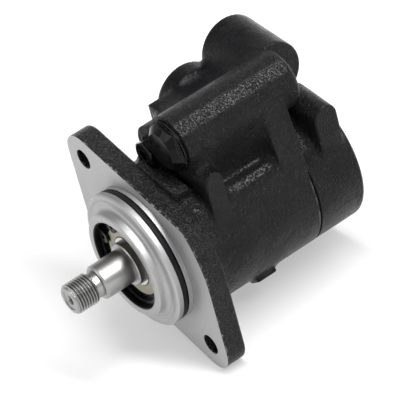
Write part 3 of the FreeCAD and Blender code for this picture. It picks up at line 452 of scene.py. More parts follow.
def bare_iron(tree, site):
    """Turned iron in front of the flange's face: where it lies, its colour, roughness and normal.
    Its border is ragged, and the bearing's bore and the seal's groove get painted shade."""
    metal = bpy.context.scene.pump_metal
    along = site.parts["Y"]
    rings = place_group(tree, shared_group("turned_rings"), {"Vector": site.place,
                                                             "Lines per metre": 1.0 / metal.line})
    border = maths(tree, "MULTIPLY", site.edge["Edge"], ramp(tree, along, -0.0006, -0.0002))
    border = maths(tree, "ADD", border, maths(tree, "MULTIPLY", site.grain["Height"], 0.5))
    ragged = ramp(tree, border, 0.75, 0.95)
    bare = product(tree, ramp(tree, along, 0.00006, 0.00002), maths(tree, "SUBTRACT", 1.0, ragged))
    # Painted shade in the bearing's bore and in the seal's groove.
    bore = product(tree, ramp(tree, site.radius, 0.0252, 0.0248), ramp(tree, along, -0.0142, -0.0139))
    groove = product(tree, ramp(tree, site.radius, 0.0357, 0.0355), ramp(tree, along, -0.0060, -0.0059),
                     ramp(tree, along, -0.0023, -0.0024))
    tone = mixed(tree, maths(tree, "MULTIPLY", rings["Tone"], 0.35), opaque(metal.machined), (0.36, 0.36, 0.365, 1.0))
    tone = mixed(tree, maths(tree, "MAXIMUM", bore, groove), tone, (0.02, 0.02, 0.021, 1.0))
    rough = maths(tree, "ADD", 0.50, maths(tree, "MULTIPLY", site.cloud, 0.06))
    return bare, tone, rough, bumped(tree, rings["Height"], 0.02 * MM, site.edge["Rounded"])


def painted_iron(name, machined_in_front, edge_radius=1.1 * MM):
    """Black painted casting. Where asked, what lies in front of the flange's face is bare turned iron."""
    paint = bpy.context.scene.pump_paint
    material, tree, shader, place = start_material(name, Specular_IOR_Level=0.16)
    parts, flat, radius = from_shaft_line(tree, place)
    if machined_in_front:
        edge_radius = ramp(tree, parts["Y"], 0.1 * MM, 0.0, edge_radius, 0.3 * MM)
    grain = place_group(tree, shared_group("cast_grain"), {"Vector": place, "Grains per metre": 1.0 / paint.grain})
    edge = place_group(tree, shared_group("edge_wear"), {"Radius": edge_radius})
    dirt = place_group(tree, shared_group("smudges"), {"Vector": place, "Patches per metre": 55.0})
    site = SimpleNamespace(place=place, parts=parts, flat=flat, radius=radius, grain=grain, edge=edge,
                           cloud=dirt["Cloud"])
    coarse, neck = grain_share(tree, site)
    parting = parting_groove(tree, site)
    # Pale paint for wear and chips, and as painted glints, painted sheen and a painted rim highlight.
    colour = mixed(tree, wear_and_painted_glints(tree, site, coarse, neck), opaque(paint.colour), opaque(paint.pale_paint))
    colour = mixed(tree, parting, colour, (0.0, 0.0, 0.0, 1.0))
    rough = maths(tree, "ADD", paint.roughness, maths(tree, "MULTIPLY", site.cloud, 0.12))
    rough = maths(tree, "MAXIMUM", rough, parting)
    normal = bumped(tree, maths(tree, "MULTIPLY", grain["Height"], coarse), paint.depth, edge["Rounded"])
    if machined_in_front:
        bare, tone, bare_rough, turned = bare_iron(tree, site)
        colour = mixed(tree, bare, colour, tone)
        rough = maths(tree, "ADD", maths(tree, "MULTIPLY", rough, maths(tree, "SUBTRACT", 1.0, bare)),
                      maths(tree, "MULTIPLY", bare, bare_rough))
        normal = mixed(tree, bare, normal, turned)
        feed(tree, shader, Metallic=bare)
    feed(tree, shader, Base_Color=colour, Roughness=rough, Normal=normal)
    return material


def inside_mask(tree, place, low, high, limit):
    """What lies between two places along Y and within a radius of the shaft's line."""
    parts, _, radius = from_shaft_line(tree, place)
    return product(tree, maths(tree, "GREATER_THAN", parts["Y"], low), maths(tree, "LESS_THAN", parts["Y"], high),
                   ramp(tree, radius, limit, limit - 0.45 * MM))


def turned_steel(name, colour, roughness, line, mark_depth, dark_and_shaded_places=()):
    """Bare steel with lathe or grinding marks round the shaft's line, a few oily patches, and a painted highlight
    along its sharp edges.
    A dark place is a length of the piece, between two places along Y, that is black within a radius; on the shaft
    these are the darker collar, and painted shade in the thread's roots and the centre drilling."""
    material, tree, shader, place = start_material(name, Metallic=1.0)
    rings = place_group(tree, shared_group("turned_rings"), {"Vector": place, "Lines per metre": 1.0 / line})
    dirt = place_group(tree, shared_group("smudges"), {"Vector": place, "Patches per metre": 130.0})
    edge = place_group(tree, shared_group("edge_wear"), {"Radius": 0.10 * MM})
    dark = tuple(0.55 * part for part in colour)
    light = tuple(min(1.0, 1.25 * part) for part in colour)
    tone = mixed(tree, maths(tree, "MULTIPLY", rings["Tone"], 0.6), opaque(colour), opaque(dark))
    tone = mixed(tree, maths(tree, "MULTIPLY", dirt["Spots"], 0.15), tone, opaque(dark))
    # Painted highlight: a lighter copy of the colour along sharp edges.
    tone = mixed(tree, maths(tree, "MULTIPLY", edge["Edge"], 0.6), tone, opaque(light))
    # Dark places, among them painted shade in recesses.
    for low, high, limit in dark_and_shaded_places:
        inside = inside_mask(tree, place, low, high, limit)
        tone = mixed(tree, maths(tree, "MULTIPLY", inside, 0.72), tone, (0.045, 0.043, 0.040, 1.0))
    rough = maths(tree, "ADD", roughness, maths(tree, "MULTIPLY", dirt["Cloud"], 0.05))
    normal = bumped(tree, rings["Height"], mark_depth, edge["Rounded"])
    feed(tree, shader, Base_Color=tone, Roughness=rough, Normal=normal)
    return material


def blackened_steel(name, roughness):
    """Oiled black steel, lighter along its edges from wear and from a painted highlight on the chamfers."""
    metal = bpy.context.scene.pump_metal
    material, tree, shader, place = start_material(name, Specular_IOR_Level=0.10, Coat_Roughness=0.05)
    edge = place_group(tree, shared_group("edge_wear"), {"Radius": 0.28 * MM})
    dirt = place_group(tree, shared_group("smudges"), {"Vector": place, "Patches per metre": 160.0})
    # Edges lighter: wear, and a painted highlight.
    edge_wear_and_highlight = maths(tree, "MULTIPLY", edge["Edge"], ramp(tree, dirt["Cloud"], 0.1, 0.9, 0.35, 0.9))
    tone = mixed(tree, edge_wear_and_highlight, opaque(metal.black), (0.24, 0.24, 0.245, 1.0))
    tone = mixed(tree, maths(tree, "MULTIPLY", dirt["Spots"], 0.25), tone, (0.05, 0.048, 0.045, 1.0))
    rough = maths(tree, "ADD", roughness, maths(tree, "MULTIPLY", dirt["Cloud"], 0.12))
    coat = ramp(tree, dirt["Cloud"], 0.0, 1.0, 0.12, 0.03)
    normal = bumped(tree, dirt["Cloud"], 0.02 * MM, edge["Rounded"], 0.6)
    feed(tree, shader, Base_Color=tone, Roughness=rough, Coat_Weight=coat, Normal=normal)
    return material


def soft_material(name, colour, second, roughness, grain, depth):
    """Rubber or moulded plastic: a close matt grain with cloudy patches of a second colour."""
    material, tree, shader, place = start_material(name, Specular_IOR_Level=0.12)
    dirt = place_group(tree, shared_group("smudges"), {"Vector": place, "Patches per metre": 90.0})
    skin = add_node(tree, "TexNoise", {"Vector": place, "Scale": 1.0 / grain, "Detail": 3.0}).outputs[0]
    tone = mixed(tree, maths(tree, "MULTIPLY", dirt["Cloud"], 0.6), opaque(colour), opaque(second))
    tone = mixed(tree, maths(tree, "MULTIPLY", dirt["Spots"], 0.3), tone, opaque(second))
    rough = maths(tree, "ADD", roughness, maths(tree, "MULTIPLY", dirt["Cloud"], 0.15))
    normal = add_node(tree, "Bump", {"Height": skin, "Distance": depth, "Strength": 0.7}).outputs[0]
    feed(tree, shader, Base_Color=tone, Roughness=rough, Normal=normal)
    return material


def dress(material, *nodes):
    """Gives a material to fixed nodes or to new pieces."""
    for node in nodes:
        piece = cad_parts[node] if isinstance(node, str) else node
        piece.data.materials.clear()
        piece.data.materials.append(material)


# Surfaces

def grid_mesh(name, points, poles):
    """Mesh of a grid of points, rows by columns by three, closed round its columns.
    With poles a fan of triangles closes each end on the mean of its row.
    The faces are turned round if the volume that they enclose comes out negative."""
    rows, columns = points.shape[:2]
    index = np.arange(rows * columns).reshape(rows, columns)
    beside = np.roll(index, -1, axis=1)
    quads = np.stack([index[:-1], index[1:], beside[1:], beside[:-1]], axis=-1).reshape(-1, 4)
    co = points.reshape(-1, 3)
    faces = quads.tolist()
    if poles:
        start, end = len(co), len(co) + 1
        co = np.vstack([co, points[0].mean(axis=0), points[-1].mean(axis=0)])
        first = np.stack([np.full(columns, start), index[0], beside[0]], axis=-1)
        last = np.stack([np.full(columns, end), beside[-1], index[-1]], axis=-1)
        faces += first.tolist() + last.tolist()
    corners = co[quads]
    volume = np.einsum("ij,ij->", corners[:, 0], np.cross(corners[:, 1], corners[:, 2]))
    volume += np.einsum("ij,ij->", corners[:, 0], np.cross(corners[:, 2], corners[:, 3]))
    if volume < 0.0:
        faces = [face[::-1] for face in faces]
    mesh = bpy.data.meshes.new(name)
    mesh.from_pydata(co.tolist(), [], faces)
    mesh.validate()
    mesh.update()
    piece = bpy.data.objects.new(name, mesh)
    bpy.context.scene.collection.objects.link(piece)
    return piece


def shade(piece, angle_deg):
    """Smooth shading that stays sharp at edges over the angle."""
    mesh = piece.data
    mesh.shade_smooth()
    mesh.set_sharp_from_angle(angle=math.radians(angle_deg))


def shaft_points(sizes, tip, rear):
    """Turned shaft as a function of the way along its outline and the angle round it.
    The outline is a chain of straight runs from the bottom of the centre drilling to the rear end.
    Within the nose the radius is the least of the outline and a thread, whose depth follows a
    raised cosine of the place along the shaft less the angle's share of one pitch.
    Within the splined length it is the root radius wherever the arc from the next spline's middle
    is more than half a spline."""
    runs = [(0.15 * MM, 4.6 * MM), (2.7 * MM, 0.6 * MM), (5.0 * MM, 0.5 * MM), (5.3 * MM, 0.0),
            (sizes.nose - 1.3 * MM, 0.0), (sizes.nose, 1.3 * MM), (sizes.nose, sizes.undercut_start - 0.8 * MM),
            (sizes.undercut, sizes.undercut_start), (sizes.undercut, sizes.shoulder),
            (sizes.seat - 0.9 * MM, sizes.shoulder), (sizes.seat, sizes.shoulder + 0.9 * MM),
            (sizes.seat, sizes.collar_start), (sizes.collar - 0.5 * MM, sizes.collar_start),
            (sizes.collar, sizes.collar_start + 0.5 * MM), (sizes.collar, sizes.bearing_start),
            (sizes.bearing_seat, sizes.bearing_start), (sizes.bearing_seat, sizes.bearing_end),
            (sizes.ring_groove, sizes.bearing_end), (sizes.ring_groove, sizes.ring_end),
            (sizes.journal, sizes.ring_end), (sizes.journal, sizes.journal_end),
            (sizes.spline, sizes.journal_end + 1.0 * MM), (sizes.spline, sizes.spline_end),
            (sizes.rear, sizes.spline_end + 1.0 * MM), (sizes.rear, rear - tip - 0.8 * MM),
            (sizes.rear - 0.8 * MM, rear - tip), (0.3 * MM, rear - tip)]
    outline = np.array(runs)
    step = np.hypot(*np.diff(outline, axis=0).T)
    way = np.concatenate([[0.0], np.cumsum(step)])
    thread_step = sizes.pitch / 20.0
    nose_ways = np.arange(way[4], way[7], thread_step)
    wide_ways = np.arange(0.0, way[-1], 1.5 * MM)
    sharp = np.concatenate([way, way[1:-1] - 0.02 * MM, way[1:-1] + 0.02 * MM])
    stations = np.unique(np.concatenate([sharp, nose_ways, wide_ways]).round(7))
    radius = np.interp(stations, way, outline[:, 0])[:, None]
    along = np.interp(stations, way, outline[:, 1])[:, None]
    turn = np.linspace(0.0, 2.0 * np.pi, sizes.columns, endpoint=False)[None, :]
    wave = 0.5 - 0.5 * np.cos(2.0 * np.pi * along / sizes.pitch - turn)
    groove = sizes.thread_depth * wave
    fade = np.clip((sizes.thread_end + 0.4 * MM - along) / (0.8 * MM), 0.0, 1.0)
    outside = stations[:, None] > way[4]
    threaded = np.minimum(radius, sizes.nose - groove * fade)
    radius = np.where(outside & (along < sizes.undercut_start), threaded, radius * np.ones_like(turn))
    pitch_angle = 2.0 * np.pi / sizes.spline_count
    from_spline = np.abs(np.mod(turn + 0.5 * pitch_angle, pitch_angle) - 0.5 * pitch_angle) * sizes.spline
    space = (from_spline > 0.5 * sizes.spline_width) & (along > sizes.spline_start) & (along < sizes.spline_end + 1.5 * MM)
    radius = np.where(space, np.minimum(radius, sizes.spline_root), radius)
    y = tip + along * np.ones_like(turn)
    return np.stack([radius * np.sin(turn), y, radius * np.cos(turn)], axis=-1)


def direction(deg):
    """Unit vector across the shaft, its angle counted from +X towards +Z."""
    return np.array([math.cos(math.radians(deg)), math.sin(math.radians(deg))])


def arc(centre, radius, start_deg, end_deg, count):
    """Points on a circle between two angles."""
    turn = np.radians(np.linspace(start_deg, end_deg, count))
    return centre + radius * np.stack([np.cos(turn), np.sin(turn)], axis=-1)


def boss_tangent(cast, side):
    """The boss's centre, its angle seen from the shaft, and the angle at which the common tangent of
    body and boss touches them, on the left for side 1 and on the right for side -1."""
    boss = np.array([cast.boss_x, cast.boss_z])
    boss_deg = math.degrees(math.atan2(cast.boss_z, cast.boss_x))
    lean = math.degrees(math.acos((cast.body - cast.boss) / np.hypot(*boss)))
    return boss, boss_deg, boss_deg + side * lean


def shoulder_section(cast):
    """Section of the shoulder that fills the body's side up to the waist under the boss.
    Its outer side is the common tangent of body and boss, its top a round that ends in a slope
    down to the foot of the waist, and the rest lies inside the body."""
    _, boss_deg, side_deg = boss_tangent(cast, -1.0)
    side = direction(side_deg)
    upward = direction(side_deg + 90.0)
    foot = side * cast.body
    corner = foot + upward * cast.rise
    slope_deg = math.degrees(math.atan2(SHOULDER_TOP[1], SHOULDER_TOP[0]))
    slope = direction(slope_deg)
    inward = (slope - upward) / np.linalg.norm(slope - upward)
    half_angle = 0.5 * math.acos(float(np.dot(slope, -upward)))
    centre = corner + inward * cast.ridge / math.sin(half_angle)
    end_deg = slope_deg - 90.0 + 360.0
    top = arc(centre, cast.ridge, side_deg, end_deg, 24)
    inner = HIDDEN_SHARE * cast.body
    return np.vstack([side * (cast.body + 0.01 * MM), top, [direction(boss_deg - HIDDEN_DEG) * inner],
                      [side * inner]])


def valley_section(cast):
    """Section of the hollow between the rib's flat top and the boss's left tangent: an arc that
    touches both, closed through two points below it."""
    boss, _, side_deg = boss_tangent(cast, 1.0)
    touch = boss + direction(side_deg) * cast.boss
    climb = direction(side_deg - 90.0)
    corner = touch + climb * (cast.rib_top - touch[1]) / climb[1]
    reach = cast.valley * math.tan(math.radians((side_deg - 90.0) / 2.0))
    centre = np.array([corner[0] - reach, cast.rib_top + cast.valley])
    hollow = arc(centre, cast.valley, -90.0, side_deg - 180.0, 20)
    lifted = hollow + np.array([0.0, 0.02 * MM])
    below = np.array([[3.0, -1.0], [-6.0, -3.0]]) * MM
    return np.vstack([lifted, corner + below])


def drawn_along_y(name, section, front, rear):
    """Section of points across the shaft carried straight along it, with both ends closed."""
    along = np.linspace(front, rear, SECTION_ROWS)
    points = np.empty((len(along), len(section), 3))
    points[:, :, 0] = section[None, :, 0]
    points[:, :, 1] = along[:, None]
    points[:, :, 2] = section[None, :, 1]
    piece = grid_mesh(name, points, True)
    shade(piece, 30.0)
    return piece


def merged_mesh(pieces):
    """One new mesh of several pieces, in the frame's place, with doubled points merged."""
    work = bmesh.new()
    for piece in pieces:
        copy = piece.data.copy()
        copy.transform(piece.matrix_world)
        work.from_mesh(copy)
        bpy.data.meshes.remove(copy)
    bmesh.ops.remove_doubles(work, verts=work.verts, dist=0.002 * MM)
    mesh = bpy.data.meshes.new("merged")
    work.to_mesh(mesh)
    work.free()
    return mesh


def even_skin(mesh, cell):
    """Even quads over a mesh, from a voxel remesh."""
    piece = bpy.data.objects.new("remesh_source", mesh)
    bpy.context.scene.collection.objects.link(piece)
    remesh = piece.modifiers.new("Remesh", "REMESH")
    remesh.mode = "VOXEL"
    remesh.voxel_size = cell
    view = bpy.context.evaluated_depsgraph_get()
    skin = bpy.data.meshes.new_from_object(piece.evaluated_get(view))
    bpy.data.objects.remove(piece)
    return skin


def blend_share(cast, co):
    """Share of the filling at each point: all on the open cast skin, nothing in the bores, on the
    machined faces, round the flange's holes and beside the parting groove, rising over two millimetres."""
    x, y, z = co.T
    away = [np.hypot(x, z) - BODY_CLEAR, np.hypot(x - cast.boss_x, z - cast.boss_z) - 12.5 * MM,
            np.hypot(x - RELIEF_LINE[0], z - RELIEF_LINE[1]) - 10.5 * MM, y - 11.5 * MM,
            np.hypot(np.abs(x) - BOLT_SIDE, np.abs(z) - BOLT_SIDE) - 7.5 * MM,
            np.abs(y - PARTING) - 1.0 * MM]
    for line, clear in ((SUCTION_LINE, 13.5 * MM), (PRESSURE_LINE, 10.0 * MM)):
        away.append(np.maximum(np.hypot(y - line[0], z - line[1]) - clear, x))
    away.append(np.maximum(y - 21.6 * MM, 34.0 * MM - z))
    return np.clip(np.min(away, axis=0) / (2.0 * MM), 0.0, 1.0)


def cast_skin_mesh(name, skin, share, rounds):
    """Skin of a casting whose sharp hollows are filled to soft blends.
    In each step a point moves out along its normal by six tenths of the distance at which the
    mean of its neighbours lies outside it, times its share. Where the share is all, the skin lies
    a little over the casting, and where it falls to nothing it sinks under the casting's surface."""
    count = len(skin.vertices)
    co = np.empty(count * 3)
    skin.vertices.foreach_get("co", co)
    co = co.reshape(-1, 3)
    pairs = np.empty(len(skin.edges) * 2, dtype=np.int32)
    skin.edges.foreach_get("vertices", pairs)
    one, other = pairs.reshape(-1, 2).T
    degree = np.bincount(one, minlength=count) + np.bincount(other, minlength=count)
    weight = share(co)
    normal = np.empty(count * 3)
    for step in range(rounds):
        if step % 8 == 0:
            skin.vertices.foreach_set("co", co.ravel())
            skin.update()
            skin.vertices.foreach_get("normal", normal)
        outward = normal.reshape(-1, 3)
        total = np.stack([np.bincount(one, co[other, axis], count) + np.bincount(other, co[one, axis], count)
                          for axis in range(3)], axis=-1)
        lift = np.einsum("ij,ij->i", total / degree[:, None] - co, outward)
        co = co + (0.6 * weight * np.maximum(lift, 0.0))[:, None] * outward
    co = co + ((0.14 * weight - 0.07) * MM)[:, None] * outward
    co = np.clip(co, CAD_BOX[0], CAD_BOX[1])
    corners = np.empty(len(skin.loops), dtype=np.int32)
    skin.loops.foreach_get("vertex_index", corners)
    if len(corners) != 4 * len(skin.polygons):
        raise RuntimeError("the remeshed casting is not all quads")
    quads = corners.reshape(-1, 4)
    kept = (weight > 0.0)[quads].any(axis=1)
    used, faces = np.unique(quads[kept], return_inverse=True)
    mesh = bpy.data.meshes.new(name)
    mesh.from_pydata(co[used].tolist(), [], faces.reshape(-1, 4).tolist())
    mesh.update()
    mesh.shade_smooth()
    return mesh


def coil_points(centre, mean_r, wire_r, turns, start, end, around=10, per_turn=28):
    """Coil spring: a circle of the wire's radius carried along a helix, whose rise slows down near
    both ends so that the last turns close on each other."""
    t = np.linspace(0.0, 1.0, int(turns * per_turn))[:, None]
    u = np.linspace(0.0, 2.0 * np.pi, around, endpoint=False)[None, :]
    ease = t - np.sin(2.0 * np.pi * t) / (2.0 * np.pi) * 0.55
    y = start + wire_r + (end - start - 2.0 * wire_r) * ease
    turn = 2.0 * np.pi * turns * t
    radius = mean_r + wire_r * np.cos(u)
    x = centre[0] + radius * np.cos(turn)
    z = centre[1] + radius * np.sin(turn)
    return np.stack([x, y + wire_r * np.sin(u), z], axis=-1)


class PUMP_OT_set_stage(bpy.types.Operator):
    """Pale floor, soft studio lamps, world and camera"""

    bl_idname = "pump.set_stage"
    bl_label = "Set the stage"

    def execute(self, context):
        stage = context.scene.pump_stage
        scene = context.scene
        scene.view_settings.view_transform = "Standard"
        camera = bpy.data.objects.new("camera", bpy.data.cameras.new("camera"))
        camera.data.sensor_width = CAMERA_SENSOR
        camera.data.lens = CAMERA_LENS
        back = CAMERA_RIGHT.cross(CAMERA_UP)
        turn = Matrix((CAMERA_RIGHT, CAMERA_UP, back)).transposed().to_4x4()
        camera.matrix_world = Matrix.Translation(CAMERA_PLACE) @ turn
        scene.collection.objects.link(camera)
        scene.camera = camera
        self.make_floor(stage)
        self.make_world(stage)
        centre = Vector((0.0, 35.0, 10.0)) * MM
        self.make_lamp("overhead_softbox", centre, Vector((0.42, 0.10, 0.95)), 0.85, 0.15, 0.85, stage.overhead)
        self.make_lamp("front_softbox", centre, Vector((-0.25, -0.95, 0.45)), 0.95, 0.5, 0.5, stage.front)
        self.make_lamp("rear_strip", centre, Vector((-0.35, 0.85, 0.45)), 0.9, 0.15, 0.7, stage.rim)
        return {"FINISHED"}

    def make_lamp(self, name, centre, direction, distance, width, height, power):
        """Area lamp that looks at the pump, its long side towards the shaft's line."""
        data = bpy.data.lights.new(name, "AREA")
        data.shape = "RECTANGLE"
        data.size = width
        data.size_y = height
        data.energy = power
        lamp = bpy.data.objects.new(name, data)
        towards = direction.normalized()
        lamp.location = centre + towards * distance
        lamp.rotation_euler = towards.to_track_quat("Z", "Y").to_euler()
        bpy.context.scene.collection.objects.link(lamp)

    def make_floor(self, stage):
        """Wide flat floor that just touches the lowest point of the flange."""
        reach = 4.0
        level = CAD_BOX[0][2] - 0.1 * MM
        corners = [(-reach, -reach, level), (reach, -reach, level), (reach, reach, level), (-reach, reach, level)]
        mesh = bpy.data.meshes.new("floor")
        mesh.from_pydata(corners, [], [(0, 1, 2, 3)])
        floor = bpy.data.objects.new("floor", mesh)
        bpy.context.scene.collection.objects.link(floor)
        material = bpy.data.materials.new("studio_floor")
        material.use_nodes = True
        tree = material.node_tree
        tree.nodes.clear()
        grey = stage.floor_colour
        diffuse = add_node(tree, "BsdfDiffuse", {"Color": (grey, grey, grey, 1.0)}).outputs[0]
        seen = seen_rays(tree)
        place = add_node(tree, "TexCoord").outputs["Object"]
        far = add_node(tree, "VectorMath", {0: place}, operation="LENGTH").outputs["Value"]
        white = ramp(tree, far, 0.25 * stage.floor_reach, stage.floor_reach, stage.floor_glow, 0.95)
        glow = add_node(tree, "Emission", {"Strength": maths(tree, "MULTIPLY", seen, white)}).outputs[0]
        both = add_node(tree, "AddShader", {0: diffuse, 1: glow}).outputs[0]
        output = tree.nodes.new("ShaderNodeOutputMaterial")
        tree.links.new(both, output.inputs["Surface"])
        dress(material, floor)

    def make_world(self, stage):
        """White at the horizon and grey above for what the camera and reflections see, even and softer
        for the light that it gives."""
        world = bpy.data.worlds.new("studio")
        bpy.context.scene.world = world
        world.use_nodes = True
        tree = world.node_tree
        tree.nodes.clear()
        seen = seen_rays(tree)
        height = add_node(tree, "SeparateXYZ", {0: add_node(tree, "TexCoord").outputs["Generated"]}).outputs["Z"]
        level = ramp(tree, height, 0.20, 0.56, 1.0, stage.sky)
        given = maths(tree, "MULTIPLY", maths(tree, "SUBTRACT", 1.0, seen), stage.ambient)
        strength = maths(tree, "ADD", given, maths(tree, "MULTIPLY", seen, level))
        glow = add_node(tree, "Background", {"Strength": strength}).outputs[0]
        output = tree.nodes.new("ShaderNodeOutputWorld")
        tree.links.new(glow, output.inputs["Surface"])


class PUMP_OT_finish_castings(bpy.types.Operator):
    """Black paint on the cast housing and its cover, bare turned iron on the spigot side"""

    bl_idname = "pump.finish_castings"
    bl_label = "Finish the castings"

    def execute(self, context):
        cast = context.scene.pump_cast
        dress(painted_iron("painted_housing", True), "pump_housing")
        paint = painted_iron("painted_cover", False)
        dress(paint, "rear_cover")
        skin = self.make_skin(cast)
        dress(painted_iron("painted_skin", False, 0.01 * MM), skin)
        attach(skin, "root")
        return {"FINISHED"}

    def make_skin(self, cast):
        """Soft cast skin over both castings, closed towards their inside."""
        shoulder = drawn_along_y("shoulder", shoulder_section(cast), cast.front, cast.rear)
        valley = drawn_along_y("valley", valley_section(cast), cast.rib_front, cast.rib_rear)
        castings = (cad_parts["pump_housing"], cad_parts["rear_cover"])
        merged = merged_mesh(castings + (shoulder, valley))
        even = even_skin(merged, cast.cell)
        mesh = cast_skin_mesh("cast_skin", even, lambda co: blend_share(cast, co), cast.blend_rounds)
        for used in (even, merged, shoulder.data, valley.data):
            bpy.data.meshes.remove(used)
        skin = bpy.data.objects.new("cast_skin", mesh)
        bpy.context.scene.collection.objects.link(skin)
        shell = skin.modifiers.new("Solidify", "SOLIDIFY")
        shell.thickness = 0.8 * MM
        shell.offset = -1.0
        return skin


class PUMP_OT_make_shaft(bpy.types.Operator):
    """Turned shaft with its helical thread, centre drilling and splines"""

    bl_idname = "pump.make_shaft"
    bl_label = "Make the shaft"

    def execute(self, context):
        low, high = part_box("drive_shaft")
        shaft = grid_mesh("turned_shaft", shaft_points(context.scene.pump_shaft, low.y, high.y), True)
        shade(shaft, 38.0)
        metal = context.scene.pump_metal
        sizes = context.scene.pump_shaft
        # The collar is darkened, and the thread's roots and the centre drilling get painted shade.
        collar = (low.y + sizes.collar_start + 0.7 * MM, low.y + sizes.bearing_start - 0.1 * MM, 2.0 * sizes.collar)
        shaded_roots = (low.y + 1.3 * MM, low.y + sizes.undercut_start, sizes.nose - 0.25 * MM)
        drilling = (low.y + 0.5 * MM, low.y + 5.0 * MM, 1.7 * MM)
        dress(turned_steel("turned_shaft_steel", tuple(metal.steel), 0.33, metal.line, 0.015 * MM,
                           (collar, shaded_roots, drilling)), shaft)
        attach(shaft, "shaft")
        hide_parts("drive_shaft")
        return {"FINISHED"}


class PUMP_OT_finish_bearing(bpy.types.Operator):
    """Ball bearing, its moulded cage and the circlip"""

    bl_idname = "pump.finish_bearing"
    bl_label = "Finish the bearing"

    def execute(self, context):
        metal = context.scene.pump_metal
        dress(turned_steel("bearing_ring_steel", tuple(metal.bright), 0.16, metal.line, 0.004 * MM), *BEARING_NODES)
        dress(blackened_steel("outer_ring_black", 0.16), "bearing_outer_ring")
        dress(soft_material("cage_nylon", (0.66, 0.63, 0.50), (0.56, 0.52, 0.39), 0.34, 0.0006, 0.00002), "bearing_cage")
        dress(blackened_steel("circlip_black", 0.22), "bearing_circlip")
        return {"FINISHED"}


class PUMP_OT_finish_seals(bpy.types.Operator):
    """Rubber of the seal rings and of the shaft's lip seal"""

    bl_idname = "pump.finish_seals"
    bl_label = "Finish the seals"

    def execute(self, context):
        rubber = soft_material("seal_rubber", (0.007, 0.007, 0.008), (0.018, 0.018, 0.019), 0.42, 0.0004, 0.00001)
        dress(rubber, *RUBBER_NODES)
        return {"FINISHED"}


class PUMP_OT_finish_plugs(bpy.types.Operator):
    """Black hexagon plugs of both valves, and their washers"""

    bl_idname = "pump.finish_plugs"
    bl_label = "Finish the plugs"

    def execute(self, context):
        dress(blackened_steel("plug_black", 0.10), "valve_plug", "relief_plug")
        dress(blackened_steel("washer_black", 0.16), "valve_plug_washer", "relief_plug_washer")
        return {"FINISHED"}


class PUMP_OT_finish_screws(bpy.types.Operator):
    """Socket head screws of the cover"""

    bl_idname = "pump.finish_screws"
    bl_label = "Finish the screws"

    def execute(self, context):
        dress(blackened_steel("screw_black", 0.30), "cover_screws")
        return {"FINISHED"}


class PUMP_OT_finish_cartridge(bpy.types.Operator):
    """Rotor, vanes, cam ring, plates, dowels, spring washer and rear bush"""

    bl_idname = "pump.finish_cartridge"
    bl_label = "Finish the cartridge"

    def execute(self, context):
        metal = context.scene.pump_metal
        ground = turned_steel("ground_steel", tuple(metal.bright), 0.20, metal.line, 0.004 * MM)
        dress(ground, "rotor", "plate_dowels", "shaft_retaining_ring")
        dress(turned_steel("plate_iron", (0.40, 0.395, 0.385), 0.34, metal.line * 2.0, 0.010 * MM), *PLATE_NODES)
        vanes = ["vane_%02d" % number for number in range(1, VANE_COUNT + 1)]
        dress(turned_steel("vane_steel", (0.50, 0.50, 0.52), 0.22, metal.line, 0.004 * MM), *vanes)
        dress(turned_steel("rear_bush_bronze", (0.55, 0.33, 0.13), 0.30, metal.line, 0.008 * MM), "rear_bush")
        dress(turned_steel("spring_washer_steel", (0.30, 0.29, 0.28), 0.32, metal.line, 0.008 * MM),
              "pressure_plate_spring")
        return {"FINISHED"}


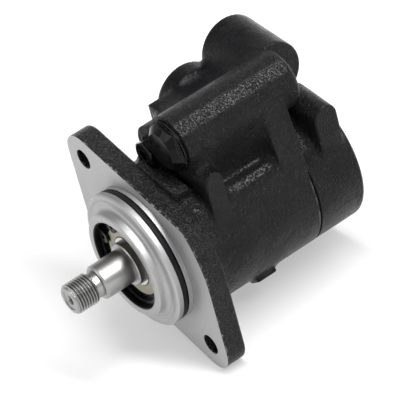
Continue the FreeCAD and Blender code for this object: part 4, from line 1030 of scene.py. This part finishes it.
class PUMP_OT_make_valves(bpy.types.Operator):
    """Flow control spool and both springs as wound round wire"""

    bl_idname = "pump.make_valves"
    bl_label = "Make the valves"

    def execute(self, context):
        metal = context.scene.pump_metal
        dress(turned_steel("spool_steel", tuple(metal.bright), 0.18, metal.line, 0.004 * MM), "flow_control_spool")
        wire = turned_steel("spring_wire", (0.34, 0.33, 0.32), 0.28, metal.line, 0.006 * MM)
        for node, name, wire_r, turns in (("spool_spring", "wound_spool_spring", 0.55 * MM, 9.0),
                                          ("relief_spring", "wound_relief_spring", 0.35 * MM, 6.0)):
            low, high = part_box(node)
            centre = ((low.x + high.x) / 2.0, (low.z + high.z) / 2.0)
            mean_r = (high.x - low.x) / 2.0 - wire_r
            coil = grid_mesh(name, coil_points(centre, mean_r, wire_r, turns, low.y, high.y), True)
            shade(coil, 60.0)
            dress(wire, coil)
            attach(coil, "root")
            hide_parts(node)
        return {"FINISHED"}


class PUMP_PT_panel(bpy.types.Panel):
    """Sidebar list of the pump's steps and settings"""

    bl_idname = "PUMP_PT_panel"
    bl_label = "Power steering pump"
    bl_space_type = "VIEW_3D"
    bl_region_type = "UI"
    bl_category = "Pump"

    def draw(self, context):
        for step in STEPS:
            self.layout.operator(step.bl_idname)
        for group in SETTINGS:
            box = self.layout.box()
            settings = getattr(context.scene, group)
            for field in settings.bl_rna.properties.keys():
                if field not in ("rna_type", "name"):
                    box.prop(settings, field)


SETTINGS = {"pump_paint": PumpPaintSettings, "pump_metal": PumpMetalSettings, "pump_cast": PumpCastSettings,
            "pump_shaft": PumpShaftSettings, "pump_stage": PumpStageSettings}
STEPS = (PUMP_OT_set_stage, PUMP_OT_finish_castings, PUMP_OT_make_shaft, PUMP_OT_finish_bearing,
         PUMP_OT_finish_seals, PUMP_OT_finish_plugs, PUMP_OT_finish_screws, PUMP_OT_finish_cartridge,
         PUMP_OT_make_valves)


def register():
    for group, kind in SETTINGS.items():
        bpy.utils.register_class(kind)
        setattr(bpy.types.Scene, group, PointerProperty(type=kind))
    for step in STEPS + (PUMP_PT_panel,):
        bpy.utils.register_class(step)


def unregister():
    for step in reversed(STEPS + (PUMP_PT_panel,)):
        bpy.utils.unregister_class(step)
    for group, kind in reversed(SETTINGS.items()):
        delattr(bpy.types.Scene, group)
        bpy.utils.unregister_class(kind)


def main():
    """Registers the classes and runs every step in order."""
    register()
    for step in STEPS:
        area, action = step.bl_idname.split(".")
        getattr(getattr(bpy.ops, area), action)()
    bpy.context.view_layer.update()


if __name__ == "__main__":
    main()
